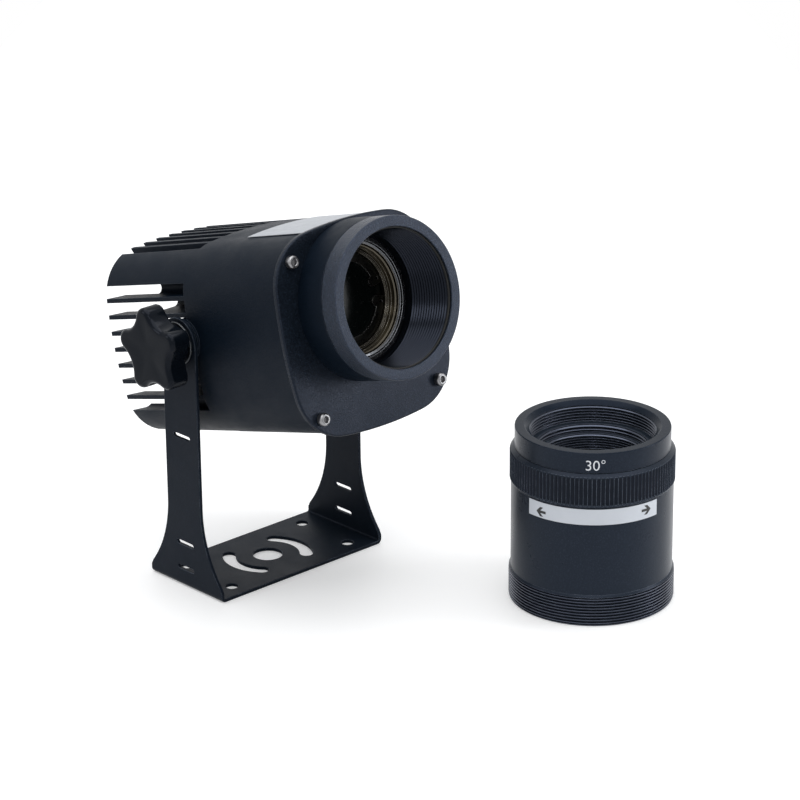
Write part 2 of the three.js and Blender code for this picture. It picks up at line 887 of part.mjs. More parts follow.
/** The holes of the yoke's base: one in the middle, two curved slots and one in each corner. */
function baseHoles() {
  const from = -overrun;
  const to = yokeSheet + overrun;
  const reach = arcSlotReach;
  const half = arcSlotWidth / 2;
  const holes = [solid(bar(baseHoleRadius, from, to, midFacets))];
  for (const side of [0, 1]) {
    const turn = side * 2 * quarter;
    const capX = (angle) => arcSlotRadius * Math.cos(angle);
    const capY = (angle) => arcSlotRadius * Math.sin(angle);
    const slot = [
      ...arc(0, 0, arcSlotRadius + half, -reach, reach, 8),
      ...arc(capX(reach), capY(reach), half, reach, reach + Math.PI, 5),
      ...arc(0, 0, arcSlotRadius - half, reach, -reach, 8),
      ...arc(capX(-reach), capY(-reach), half, Math.PI - reach, 2 * Math.PI - reach, 5),
    ];
    holes.push(solid(drawn(slot, from, to).rotateZ(turn)));
    for (const end of [-1, 1]) {
      const corner = bar(cornerHoleRadius, from, to, smallFacets);
      const across = (2 * side - 1) * cornerHoleAcross;
      holes.push(solid(corner.translate(across, end * cornerHoleAlong, 0)));
    }
  }
  return holes;
}

/** The outline of the hand knob: round lobes joined by hollows tangent to them. */
function knobOutline() {
  const step = Math.PI / knobLobes;
  const lobeCentre = knobTipRadius - knobLobeRadius;
  const reach = lobeCentre * Math.cos(step);
  const spare = lobeCentre ** 2 + knobValleyRadius ** 2 - 2 * knobValleyRadius * reach - knobLobeRadius ** 2;
  const hollow = spare / (2 * (knobLobeRadius + reach - knobValleyRadius));
  const hollowCentre = knobValleyRadius + hollow;
  const meet = new THREE.Vector2(hollowCentre * Math.cos(step) - lobeCentre, hollowCentre * Math.sin(step));
  const lobeReach = meet.angle();
  const hollowReach = lobeReach - step;
  const points = [];
  for (let i = 0; i < knobLobes; i += 1) {
    const turn = knobTurn + 2 * i * step;
    const lobe = new THREE.Vector2(lobeCentre, 0).rotateAround(new THREE.Vector2(), turn);
    const dip = new THREE.Vector2(hollowCentre, 0).rotateAround(new THREE.Vector2(), turn + step);
    const back = turn + step + Math.PI;
    points.push(...arc(lobe.x, lobe.y, knobLobeRadius, turn - lobeReach, turn + lobeReach, 6));
    points.push(...arc(dip.x, dip.y, hollow, back + hollowReach, back - hollowReach, 3).slice(1, -1));
  }
  return points;
}

/** A lobed hand knob with round edges, a hub behind and a blind hole for its stud. */
function handKnob() {
  const star = new THREE.ExtrudeGeometry(new THREE.Shape(knobOutline()), {
    depth: knobThickness - 2 * knobEdge,
    bevelThickness: knobEdge,
    bevelSize: knobEdge,
    bevelOffset: -knobEdge,
    bevelSegments: 2,
  });
  star.translate(0, 0, knobStarFace + knobEdge);
  const hub = bar(knobHubRadius, knobHubFace, knobStarFace + knobThickness / 2, smallFacets);
  const hole = bar(studRadius + seat, knobHubFace - overrun, knobHubFace + studDepthInKnob + seat, smallFacets);
  return geometryOf(solid(star).add(solid(hub)).subtract(solid(hole)));
}

/** The clamp of one side, built outwards along Z from the middle of the head. */
function tiltClamp(word, side) {
  const clamp = groupAt(
    0,
    0,
    0,
    piece(
      word + "_pivot_bush",
      ring(studRadius + slip, bushRadius, pivotBossFace - bushLength, pivotBossFace, smallFacets),
      brass,
    ),
    piece(
      word + "_friction_washer",
      ring(studRadius + slip, frictionWasherRadius, pivotBossFace + seat, armInner - seat, smallFacets),
      blackRubber,
    ),
    piece(
      word + "_pressure_washer",
      ring(studRadius + slip, pressureWasherRadius, armOuter + seat, pressureWasherFace, smallFacets),
      steel,
    ),
    piece(word + "_knob", handKnob(), blackPlastic),
    piece(
      word + "_knob_stud",
      bar(studRadius, pivotBossFace - studDepthInBush, knobHubFace + studDepthInKnob, smallFacets),
      steel,
    ),
  );
  const outward = X.clone().multiplyScalar(side);
  const along = Z.clone().multiplyScalar(side);
  clamp.quaternion.setFromRotationMatrix(new THREE.Matrix4().makeBasis(Y, along, outward));
  return clamp;
}

/** Where the pieces in the projection lens begin, from its foot up. */
function lensPlaces() {
  const upperRing = lensNeckTop - upperRingHeight;
  const lowerRing = upperRing - seat - lowerRingHeight;
  const rest = restHeight(elementSag, lensInnerRadius, lowerRingOpening);
  const frontEdge = lowerRing - rest - elementEdge;
  const rearEdge = lensFootRecess + lensFootLip + seat;
  const spacer = rearEdge + elementEdge + restHeight(elementSag, lensInnerRadius, lensInnerRadius - spacerWall);
  return { upperRing, lowerRing, frontEdge, rearEdge, spacer };
}

function lensBarrel() {
  return turned(
    [
      [lensFootRadius, 0],
      [lensThreadRadius - lensThreadChamfer, 0],
      [lensThreadRadius, lensThreadChamfer],
      [lensThreadRadius, lensThreadLength],
      [lensRadius, lensThreadLength + lensThreadRadius - lensRadius],
      [lensRadius, lensShoulder],
      [lensNeckRadius, lensShoulder],
      [lensNeckRadius, lensNeckTop],
      [lensBore, lensNeckTop],
      [lensBore, lensFootRecess + lensFootLip],
      [lensFootOpening, lensFootRecess + lensFootLip],
      [lensFootOpening, lensFootRecess],
      [lensFootRadius, lensFootRecess],
    ],
    wideFacets,
  );
}

function lensGripRing() {
  return turned(
    [
      [lensNeckRadius + seat, lensShoulder + seat],
      [gripRadius, lensShoulder + seat],
      [gripRadius, lensNeckTop - gripChamfer],
      [gripRadius - gripChamfer, lensNeckTop],
      [lensNeckRadius + seat, lensNeckTop],
    ],
    wideFacets,
  );
}

function lensFrontRing() {
  const rear = lensNeckTop + seat;
  return turned(
    [
      [frontOpening, rear],
      [frontRingRadius, rear],
      [frontRingRadius, lensHeight - frontRingChamfer],
      [frontRingRadius - frontRingChamfer, lensHeight],
      [frontConeRadius, lensHeight],
      [frontOpening, lensHeight - frontConeDepth],
    ],
    wideFacets,
  );
}

function lensUpperRing() {
  const { upperRing } = lensPlaces();
  return ring(upperRingOpening, lensInnerRadius, upperRing, upperRing + upperRingHeight, midFacets);
}

function lensLowerRing() {
  const { lowerRing } = lensPlaces();
  return ring(lowerRingOpening, lensInnerRadius, lowerRing, lowerRing + lowerRingHeight, midFacets);
}

function lensElementFront() {
  const { frontEdge } = lensPlaces();
  return lensElement(lensInnerRadius, frontEdge, elementEdge, elementSag);
}

function lensElementRear() {
  const { rearEdge } = lensPlaces();
  return lensElement(lensInnerRadius, rearEdge, elementEdge, elementSag);
}

function lensSpacer() {
  const { frontEdge, spacer } = lensPlaces();
  return ring(lensInnerRadius - spacerWall, lensInnerRadius, spacer, frontEdge - seat, midFacets);
}

/** The bare band on the lens, towards the side from which its scale is read. */
function lensLabel() {
  const from = lensLabelHeading - lensLabelReach;
  const to = lensLabelHeading + lensLabelReach;
  const inner = lensRadius + seat;
  const band = [
    ...arc(0, 0, inner + labelThickness, from, to, 14),
    ...arc(0, 0, inner, to, from, 14),
  ];
  return drawn(band, lensLabelBottom, lensLabelBottom + lensLabelHeight);
}

function body() {
  return groupAt(
    0,
    -bodyDrop,
    0,
    piece("heatsink_housing", heatsinkHousing(), blackCoat),
    piece("plate_gasket", plateGasket(), blackRubber),
    piece("front_plate", frontPlate(), blackCoat),
    piece("top_label", topLabel(), labelSilver),
    ...screwPlaces().map(({ x, y }, i) => groupAt(x, y, 0, piece("plate_screw_" + (i + 1), plateScrew(), steel))),
    groupAt(0, -driverDrop, 0, piece("driver_box", driverBox(), driverGrey)),
    gland(),
  );
}

/** The gland stands on the pocket floor and looks backwards. */
function gland() {
  const group = groupAt(
    0,
    -glandDrop,
    -pocketFloor,
    piece("gland_body", glandBody(), blackPlastic),
    piece("gland_nut", glandNut(), blackPlastic),
    piece("gland_seal", glandSeal(), blackRubber),
  );
  group.rotation.y = Math.PI;
  return group;
}

function optics() {
  return groupAt(
    0,
    axisRise,
    0,
    piece("barrel_base", barrelBase(), blackCoat),
    piece("barrel_collar", barrelCollar(), blackCoat),
    piece("thread_sleeve", ring(boreRadius, sleeveRadius, gateFloor + seat, sleeveFront, wideFacets), blackCoat),
    piece("mouth_o_ring", mouthORing(), blackRubber),
    piece("gobo_gate", goboGate(), blackCoat),
    piece("gobo_holder_ring", goboHolderRing(), steel),
    piece("gobo_glass", goboGlass(), darkGlass),
    piece("gobo_snap_ring", goboSnapRing(), blackCoat),
    piece("condenser_cell", condenserCell(), bareAluminium),
    piece("condenser_lens_rear", condenserLensRear(), clearGlass),
    piece("condenser_spacer", condenserSpacerRing(), bareAluminium),
    piece("condenser_lens_front", condenserLensFront(), clearGlass),
    piece("condenser_retainer", condenserRetainer(), bareAluminium),
    piece("led_spreader", ledSpreader(), bareAluminium),
    piece("led_board", ledBoard(), boardWhite),
    piece("led_emitter", ledEmitter(), emitterYellow),
  );
}

function head() {
  const group = groupAt(0, 0, pivotHeight, body(), optics(), tiltClamp("left", -1), tiltClamp("right", 1));
  group.rotation.x = quarter - tilt;
  return group;
}

function projectionLens() {
  return groupAt(
    lensAcross,
    -lensForward,
    0,
    piece("lens_barrel", lensBarrel(), blackCoat),
    piece("lens_grip_ring", lensGripRing(), blackCoat),
    piece("lens_front_ring", lensFrontRing(), blackCoat),
    piece("lens_upper_ring", lensUpperRing(), blackCoat),
    piece("lens_lower_ring", lensLowerRing(), blackCoat),
    piece("lens_element_front", lensElementFront(), clearGlass),
    piece("lens_spacer", lensSpacer(), blackCoat),
    piece("lens_element_rear", lensElementRear(), clearGlass),
    piece("lens_label", lensLabel(), labelSilver),
  );
}

/** The whole set, centred over the middle of its footprint. */
function projector() {
  const set = groupAt(0, 0, 0, piece("yoke_bracket", yokeBracket(), blackCoat), head(), projectionLens());
  set.updateMatrixWorld(true);
  const bounds = new THREE.Box3().setFromObject(set, true);
  const centre = bounds.getCenter(new THREE.Vector3());
  set.position.set(-centre.x, -centre.y, -bounds.min.z);
  return groupAt(0, 0, 0, set);
}

export default projector();
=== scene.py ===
"""Gobo projector on its yoke, with the projection lens standing beside it."""
from contextlib import contextmanager
from math import acos, asin, atan2, cos, hypot, pi, radians, sin, sqrt, tan

import bmesh
import bpy
from mathutils import Matrix, Vector


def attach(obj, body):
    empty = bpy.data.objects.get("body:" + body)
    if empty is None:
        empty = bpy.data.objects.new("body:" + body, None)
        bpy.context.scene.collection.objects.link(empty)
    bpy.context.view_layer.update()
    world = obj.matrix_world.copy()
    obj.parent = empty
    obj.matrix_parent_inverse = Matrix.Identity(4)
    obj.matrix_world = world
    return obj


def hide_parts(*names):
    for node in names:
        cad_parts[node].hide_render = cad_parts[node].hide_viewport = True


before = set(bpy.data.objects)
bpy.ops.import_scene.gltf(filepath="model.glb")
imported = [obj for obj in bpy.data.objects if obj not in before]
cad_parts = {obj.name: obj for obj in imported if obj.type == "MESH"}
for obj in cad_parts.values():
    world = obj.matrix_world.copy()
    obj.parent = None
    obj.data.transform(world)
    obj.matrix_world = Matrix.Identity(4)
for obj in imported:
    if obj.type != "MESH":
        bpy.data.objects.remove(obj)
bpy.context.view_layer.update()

# Lengths are in millimetres, apart from the stage's; MM turns them into the metres of the scene.
MM = 0.001
TINY = 1e-6
FULL_TURN = 2 * pi
ROUND = 160
FINE = 96

# ---- places

SET_X, SET_Y = -30.4, 64.447
PIVOT_HEIGHT = 145.3
TILT = radians(15.5)
BODY_DROP = 4.7  # from the tilt axis down to the body's middle
AXIS_RISE = 7.9  # from the tilt axis up to the optical axis
LENS_X, LENS_Y = 97.0, -161.2


def shift(x, y, z):
    """A move by millimetres."""
    return Matrix.Translation(Vector((x, y, z)) * MM)


def sideways(side):
    """Turns Z to point out of one side of the head, and X along the head's Y."""
    return Matrix(((0, 0, side), (1, 0, 0), (0, side, 0))).to_4x4()


YOKE = shift(SET_X, SET_Y, 0)
HEAD = shift(SET_X, SET_Y, PIVOT_HEIGHT) @ Matrix.Rotation(pi / 2 - TILT, 4, "X")
BODY = HEAD @ shift(0, -BODY_DROP, 0)
OPTICS = HEAD @ shift(0, AXIS_RISE, 0)
LENS = shift(SET_X + LENS_X, SET_Y + LENS_Y, 0)

# ---- mesh tools

WELD = 1e-4
MOST_TURN = radians(165)  # a sharper turn than this is left as it is
MOST_SHARE = 0.45  # of an outline's side that one rounded corner may take


def new_object(name, data):
    made = bpy.data.objects.new(name, data)
    bpy.context.scene.collection.objects.link(made)
    return made


def baked(piece):
    """The mesh that a piece's modifiers or curve settings give."""
    bpy.context.view_layer.update()
    return bpy.data.meshes.new_from_object(piece.evaluated_get(bpy.context.evaluated_depsgraph_get()))


def baked_curve(curve):
    """The mesh that a curve or a text gives; the curve itself is dropped."""
    holder = new_object("curve", curve)
    made = baked(holder)
    bpy.data.objects.remove(holder)
    bpy.data.curves.remove(curve)
    return made


@contextmanager
def editing(mesh, weld=WELD):
    """The mesh as a bmesh, with points closer than weld joined, written back at the end."""
    work = bmesh.new()
    work.from_mesh(mesh)
    if weld:
        bmesh.ops.remove_doubles(work, verts=work.verts, dist=weld)
    yield work
    work.to_mesh(mesh)
    work.free()


def finish_mesh(name, mesh, place, body, material, sharp, *replaced):
    """Makes the piece from a mesh in millimetres, in its own frame, and hangs it on its body."""
    with editing(mesh) as work:
        bmesh.ops.dissolve_degenerate(work, dist=WELD / 10, edges=work.edges)
        bmesh.ops.recalc_face_normals(work, faces=work.faces)
        for face in work.faces:
            face.smooth = True
        for edge in work.edges:
            edge.smooth = edge.is_manifold and edge.calc_face_angle(0.0) < radians(sharp)
        bmesh.ops.scale(work, vec=(MM, MM, MM), verts=work.verts)
    mesh.name = name
    piece = new_object(name, mesh)
    piece.matrix_world = place
    bpy.context.view_layer.update()
    mesh.materials.clear()
    mesh.materials.append(material)
    even = piece.modifiers.new("even_normals", "WEIGHTED_NORMAL")
    even.keep_sharp = True
    even.weight = 100
    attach(piece, body)
    if replaced:
        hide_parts(*replaced)
    return piece


def second_finish(piece, material, chosen):
    """Gives one more material to the faces that chosen(middle, normal) picks."""
    number = len(piece.data.materials)
    piece.data.materials.append(material)
    for polygon in piece.data.polygons:
        if chosen(polygon.center / MM, polygon.normal):
            polygon.material_index = number


def mesh_of(points, faces):
    mesh = bpy.data.meshes.new("mesh")
    mesh.from_pydata([tuple(p) for p in points], [], faces)
    mesh.update()
    return mesh


def arc(x, y, radius, start, end, steps):
    turns = [start + (end - start) * i / steps for i in range(steps + 1)]
    return [(x + radius * cos(turn), y + radius * sin(turn)) for turn in turns]


def circle(x, y, radius, steps):
    return arc(x, y, radius, 0, FULL_TURN, steps)[:-1]


def softened(profile, radius, steps=3):
    """A closed outline with each corner rounded by up to the given radius."""
    result = []
    count = len(profile)
    for i, corner in enumerate(profile):
        here = Vector(corner)
        before = Vector(profile[i - 1]) - here
        after = Vector(profile[(i + 1) % count]) - here
        if before.length < TINY or after.length < TINY:
            continue
        turn = before.angle(after)
        if turn > MOST_TURN or here.x < TINY:
            result.append(tuple(here))
            continue
        reach = min(radius / tan(turn / 2), before.length * MOST_SHARE, after.length * MOST_SHARE)
        begin = here + before.normalized() * reach
        end = here + after.normalized() * reach
        for step in range(steps + 1):
            t = step / steps
            result.append(tuple(begin * (1 - t) ** 2 + here * 2 * t * (1 - t) + end * t * t))
    return result


EDGE_TURNS = (0, 0.4, 0.8, 1.2, 1.57)


def about(radius, height, *offsets):
    """Outline points given by their offsets from a radius and a height."""
    return [(radius + x, height + y) for x, y in offsets]


def round_over(radius, height, reach, turns=EDGE_TURNS):
    """Points over a rounded outer edge, from its side to its top."""
    return [(radius - reach * (1 - cos(a)), height - reach * (1 - sin(a))) for a in turns]


def skin(rings, closed=False):
    """A closed solid through rings of points: the last ring joins the first, or both ends are capped."""
    count = len(rings[0])
    points = [point for ring in rings for point in ring]
    faces = []
    for row in range(len(rings) if closed else len(rings) - 1):
        here, after = row * count, (row + 1) % len(rings) * count
        for k in range(count):
            n = (k + 1) % count
            face = (here + k, here + n, after + n, after + k)
            if len({points[i] for i in face}) > 2:  # not an edge on the axis
                faces.append(face)
    if not closed:
        faces += [tuple(reversed(range(count))), tuple(range(len(points) - count, len(points)))]
    return mesh_of(points, faces)


def lathe_mesh(profile, segments=ROUND, wave=None, start=0.0, sweep=FULL_TURN):
    """Turns a closed (radius, height) outline about Z.

    wave gives a change of radius for an outline point's number and an angle.
    """
    full = sweep == FULL_TURN
    rings = []
    for row in range(segments if full else segments + 1):
        angle = start + sweep * row / segments
        radii = [radius + (wave(k, angle) if wave else 0.0) for k, (radius, z) in enumerate(profile)]
        rings.append([(r * cos(angle), r * sin(angle), z) for r, (radius, z) in zip(radii, profile)])
    return skin(rings, full)


def turned_piece(name, profile, place, body, material, sharp, node):
    return finish_mesh(name, lathe_mesh(profile), place, body, material, sharp, node)


def plate_mesh(outlines, low, high, edge):
    """A flat piece between two heights from closed outlines, the first the outer one, with rounded edges."""
    curve = bpy.data.curves.new("plate", "CURVE")
    curve.dimensions = "2D"
    curve.fill_mode = "BOTH"
    for outline in outlines:
        spline = curve.splines.new("POLY")
        spline.points.add(len(outline) - 1)
        for point, (x, y) in zip(spline.points, outline):
            point.co = (x, y, 0, 1)
        spline.use_cyclic_u = True
    curve.bevel_depth = edge
    curve.bevel_resolution = 1
    curve.extrude = (high - low) / 2 - edge
    curve.offset = -edge
    made = baked_curve(curve)
    made.transform(Matrix.Translation((0, 0, (low + high) / 2)))
    return made


def loft_mesh(rings):
    """A closed solid through outlines of equal length: rings of ([(x, y)], z)."""
    return skin([[(x, y, z) for x, y in outline] for outline, z in rings])


def solid_object(mesh):
    """A scratch object for boolean work, in millimetres, with faces turned outwards."""
    with editing(mesh, WELD / 10) as work:
        bmesh.ops.recalc_face_normals(work, faces=work.faces)
    return new_object("scratch", mesh)


def combined(base_mesh, steps):
    """Applies booleans in turn: steps of (operation, [meshes])."""
    base = solid_object(base_mesh)
    helpers = []
    for operation, meshes in steps:
        for mesh in meshes:
            helper = solid_object(mesh)
            helpers.append(helper)
            modifier = base.modifiers.new("step", "BOOLEAN")
            modifier.operation = operation
            modifier.solver = "EXACT"
            modifier.object = helper
    made = baked(base)
    for scratch in helpers + [base]:
        bpy.data.objects.remove(scratch)
    return made


def joined(meshes):
    """Several meshes in one."""
    work = bmesh.new()
    for mesh in meshes:
        work.from_mesh(mesh)
    made = bpy.data.meshes.new("joined")
    work.to_mesh(made)
    work.free()
    return made


def moved(mesh, matrix):
    """The mesh moved by a matrix, still turned outwards where that mirrors it."""
    mesh.transform(matrix)
    if matrix.to_3x3().determinant() < 0:
        mesh.flip_normals()
    return mesh


def rod_at(x, y, radius, low, high, segments=FINE):
    """A rod along Z, standing at (x, y)."""
    rod = lathe_mesh([(0, low), (radius, low), (radius, high), (0, high)], segments)
    return moved(rod, Matrix.Translation((x, y, 0)))


def hex_radius(angle, corner):
    """Distance from the middle to the side of a hexagon whose corners lie at the given radius."""
    turn = (angle % (pi / 3)) - pi / 6
    return corner * cos(pi / 6) / cos(turn)


# ---- materials

GREEN_SHARE = 0.38  # of a tint's blue that its green gets
COAT_BLUE = 1.4
COOL_TINT = (0.64, 0.73, 1.0, 1)
COOL_COAT = (0.7, 0.84, 1.0, 1)
MIDDLE = (0.3, 0.7)  # the part of a noise's range that a roughness spreads over
EDGE_ANGLES = (0.82, 0.985)  # cosines between which a rounded edge fades out

# Noise fields: scale in cycles a metre, detail, roughness.
CLOUDS, SMEARS, WEAR = (26, 4.0, 0.6), (48, 5.0, 0.65), (90, 4.0, 0.7)
STAINS, GRINDING, BRUSHING = (60, 5.0, 0.65), (300, 4.0, 0.6), (900, 4.0, 0.6)
FLOW, SCRATCHES, SKIN = (35, 3.0, 0.5), (420, 6.0, 0.8), (700, 2.0, 0.5)
DUST, POLISH, RIPPLE = (900, 6.0, 0.8), (30, 5.0, 0.7), (60, 2.0, 0.4)


class Shader:
    """A material's node tree with short ways to add and join nodes."""

    def __init__(self, name):
        self.material = bpy.data.materials.new(name)
        self.material.use_nodes = True
        self.tree = self.material.node_tree
        self.tree.nodes.clear()
        self.output = self.add("OutputMaterial")
        self.principled = self.add("BsdfPrincipled")
        self.join(self.principled.outputs[0], self.output.inputs["Surface"])
        self.place = self.add("TexCoord").outputs["Object"]

    def join(self, source, target):
        self.tree.links.new(source, target)

    def fill(self, target, value):
        """Joins an output to an input, or gives the input a constant."""
        if isinstance(value, bpy.types.NodeSocket):
            self.join(value, target)
        else:
            target.default_value = value

    def fill_named(self, node, values):
        """Fills inputs by their names, with _ for a space."""
        for key, value in values.items():
            self.fill(node.inputs[key.replace("_", " ")], value)

    def add(self, kind, **values):
        node = self.tree.nodes.new("ShaderNode" + kind)
        self.fill_named(node, values)
        return node

    def set(self, **values):
        """Fills the surface's inputs and gives the material."""
        self.fill_named(self.principled, values)
        return self.material

    def noise(self, scale, detail=4.0, rough=0.5, stretch=None):
        place = self.place
        if stretch:
            place = self.add("Mapping", Scale=stretch, Vector=place).outputs[0]
        return self.add("TexNoise", Scale=scale, Detail=detail, Roughness=rough, Vector=place).outputs["Fac"]

    def cells(self, scale):
        return self.add("TexVoronoi", Scale=scale, Vector=self.place).outputs["Distance"]

    def rings(self, scale, axis=None):
        """Fine turning marks: rings about Z, or bands stacked along the named axis."""
        node = self.add("TexWave", Scale=scale, Distortion=0.0, Detail=1.0, Vector=self.place)
        node.wave_type = "BANDS" if axis else "RINGS"
        node.rings_direction = "Z"
        node.bands_direction = axis or "Z"
        return node.outputs["Fac"]

    def ranged(self, source, low, high, start=0.0, end=1.0):
        """Spreads the source's range from start to end over low to high."""
        node = self.add("MapRange", Value=source, From_Min=start, From_Max=end, To_Min=low, To_Max=high)
        return node.outputs[0]

    def mixed(self, factor, first, second):
        """A mix of two colours."""
        node = self.add("Mix")
        node.data_type = "RGBA"
        for number, value in ((0, factor), (6, first), (7, second)):
            self.fill(node.inputs[number], value)
        return node.outputs[2]

    def times(self, first, second):
        node = self.add("Math")
        node.operation = "MULTIPLY"
        self.fill(node.inputs[0], first)
        self.fill(node.inputs[1], second)
        return node.outputs[0]

    def edges(self, radius):
        """A rounded normal, and a mask that is 1 on sharp outer edges."""
        bevel = self.add("Bevel", Radius=radius * MM)
        bevel.samples = 4
        dot = self.add("VectorMath")
        dot.operation = "DOT_PRODUCT"
        self.join(bevel.outputs[0], dot.inputs[0])
        self.join(self.add("NewGeometry").outputs["Normal"], dot.inputs[1])
        return bevel.outputs[0], self.ranged(dot.outputs["Value"], 1.0, 0.0, *EDGE_ANGLES)

    def bump(self, height, distance, normal=None):
        node = self.add("Bump", Distance=distance * MM, Strength=1.0, Height=height)
        if normal:
            self.join(normal, node.inputs["Normal"])
        return node.outputs[0]


def grey(value, blue=0.0):
    """A grey with its green and blue raised: blue is how far blue stands over red."""
    return (value, value * (1 + blue * GREEN_SHARE), value * (1 + blue), 1.0)


def coat_material(
    name, base, grain=0.035, rough=0.46, edge=0.35, edge_highlight=0.10, specular=0.2,
    peel_scale=1500, speck=2.6, patch=0.075, blue=COAT_BLUE,
):
    """Powder coat or anodising: fine grain, cloudy sheen, and a painted highlight on the edges, broken up
    like rubbed wear.
    """
    shader = Shader(name)
    normal, mask = shader.edges(edge)
    peel = shader.noise(peel_scale, 3.0, 0.6)
    specks = shader.noise(peel_scale * 0.75, 5.0, 0.75)
    colour = shader.mixed(shader.noise(*CLOUDS), grey(base * 0.88, blue), grey(base * 1.14, blue))
    dust = shader.ranged(specks, 0.0, 0.5, 0.5, 0.72)
    colour = shader.mixed(dust, colour, grey(base * speck, blue))
    # Painted highlight on the sharp outer edges, patchy like rubbed wear: the edges are mixed towards a pale
    # grey.
    worn_edge_highlight = shader.times(mask, shader.ranged(shader.noise(*WEAR), 0.15, 1.0, 0.35, 0.65))
    return shader.set(
        Base_Color=shader.mixed(shader.times(worn_edge_highlight, 0.55), colour, grey(edge_highlight, 0.4)),
        Roughness=shader.ranged(shader.noise(*SMEARS), rough - patch, rough + patch, *MIDDLE),
        Normal=shader.bump(peel, grain, normal),
        Metallic=0.0, Specular_IOR_Level=specular, Specular_Tint=COOL_TINT,
    )


def metal_material(
    name, colour, rough=0.25, ring_scale=None, axis=None, mark=0.004, stretch=None, edge_highlight=0.5
):
    """Bare metal with turning marks or a brushed grain, slightly uneven in tone, and a painted highlight on
    its edges.
    """
    shader = Shader(name)
    normal, mask = shader.edges(0.18)
    dark = tuple(channel * 0.72 for channel in colour[:3]) + (1.0,)
    tone = shader.mixed(shader.noise(*STAINS), dark, colour)
    if ring_scale:
        height = shader.rings(ring_scale, axis)
    else:
        height = shader.noise(*BRUSHING, stretch)
    # Painted highlight: the sharp outer edges are mixed towards near-white.
    return shader.set(
        Base_Color=shader.mixed(shader.times(mask, edge_highlight), tone, (0.92, 0.92, 0.93, 1.0)),
        Roughness=shader.ranged(shader.noise(*GRINDING, stretch), rough - 0.06, rough + 0.1, *MIDDLE),
        Normal=shader.bump(height, mark, normal),
        Metallic=1.0,
    )


def plastic_material(name, base, rough, coat, grain=0.01):
    """Moulded plastic: smooth skin, soft flow marks, fine scratches in the gloss, and a painted highlight on
    its edges.
    """
    shader = Shader(name)
    normal, mask = shader.edges(0.3)
    colour = shader.mixed(shader.noise(*FLOW), grey(base * 0.85, COAT_BLUE), grey(base * 1.2, COAT_BLUE))
    scratches = shader.noise(*SCRATCHES, (1.0, 0.12, 1.0))
    # Painted highlight: the sharp outer edges are mixed towards a much paler grey.
    return shader.set(
        Base_Color=shader.mixed(shader.times(mask, 0.25), colour, grey(base * 4, COAT_BLUE)),
        Roughness=shader.ranged(scratches, rough - 0.02, rough + 0.04, 0.4, 0.75),
        Normal=shader.bump(shader.noise(*SKIN), grain, normal),
        Coat_Weight=coat, Coat_Roughness=0.1, Coat_Tint=COOL_COAT,
        Specular_IOR_Level=0.07, Specular_Tint=COOL_TINT,
    )


def rubber_material(name, base):
    """Matt rubber with a fine grain and paler wear."""
    shader = Shader(name)
    normal = shader.edges(0.2)[0]
    return shader.set(
        Base_Color=shader.mixed(shader.noise(200, 5.0, 0.7), grey(base * 0.7), grey(base * 1.8)),
        Roughness=shader.ranged(shader.noise(350, 4.0, 0.7), 0.7, 0.95),
        Normal=shader.bump(shader.noise(1400, 4.0, 0.7), 0.03, normal),
    )


def glass_material(name, tint, transmission, ior, rough=0.02):
    """Coated glass with faint dust and uneven polish."""
    shader = Shader(name)
    dust = shader.ranged(shader.noise(*DUST), 0.0, 0.25, 0.6, 0.8)
    return shader.set(
        Base_Color=shader.mixed(dust, tint, (0.5, 0.5, 0.48, 1.0)),
        Roughness=shader.ranged(shader.noise(*POLISH), rough, rough + 0.06),
        Normal=shader.bump(shader.noise(*RIPPLE), 0.004),
        Transmission_Weight=transmission, IOR=ior,
    )


def label_material(name, value):
    """Metallised film with fine ribs across it."""
    shader = Shader(name)
    ribs = shader.rings(1100, "X")
    tone = shader.mixed(shader.noise(140, 5.0, 0.6), grey(value * 0.9, 0.16), grey(value * 1.08, 0.12))
    return shader.set(
        Base_Color=shader.mixed(ribs, tone, grey(value, 0.14)),
        Roughness=shader.ranged(shader.noise(220, 4.0, 0.6), 0.32, 0.48, *MIDDLE),
        Normal=shader.bump(ribs, 0.012, shader.edges(0.1)[0]),
        Metallic=0.1,
    )


def print_material(name, value):
    """Screen-printed ink with slightly broken cover."""
    shader = Shader(name)
    cover = shader.ranged(shader.noise(1300, 5.0, 0.8), 0.0, 0.35, 0.5, 0.8)
    return shader.set(
        Base_Color=shader.mixed(cover, grey(value, 0.08), grey(value * 0.94 + 0.01, 0.08)),
        Roughness=shader.ranged(shader.noise(500, 4.0, 0.6), 0.4, 0.6),
    )


def lamp_material(name, scale, dark, light, rough, grain, depth):
    """The lamp's board or phosphor: mottled, with a fine grain or small cells."""
    shader = Shader(name)
    relief = shader.noise(800, 3.0, 0.6) if grain == "noise" else shader.cells(900)
    return shader.set(
        Base_Color=shader.mixed(shader.noise(scale, 5.0, 0.6), dark, light),
        Roughness=rough, Normal=shader.bump(relief, depth),
    )


ANODISED = dict(edge=0.3, edge_highlight=0.6, patch=0.03)
THREADED = dict(edge=0.2, grain=0.012, patch=0.03)

black_coat = coat_material(
    "black_powder_coat", 0.003, grain=0.18, rough=0.45, edge_highlight=0.25, specular=0.08, blue=2.6
)
plate_coat = coat_material(
    "plate_powder_coat", 0.0045, grain=0.16, rough=0.3, edge_highlight=0.3, specular=0.19, speck=8
)
rim_coat = coat_material(
    "barrel_rim_coat", 0.006, grain=0.5, rough=0.34, edge_highlight=0.3, specular=0.48, speck=10, peel_scale=1300
)
yoke_coat = coat_material(
    "yoke_powder_coat", 0.005, grain=0.08, rough=0.42, edge=0.5, edge_highlight=0.35, specular=0.08, blue=1.6
)
lens_coat = coat_material(
    "lens_anodised", 0.0125, grain=0.02, rough=0.29, specular=0.15, blue=1.0, **ANODISED
)
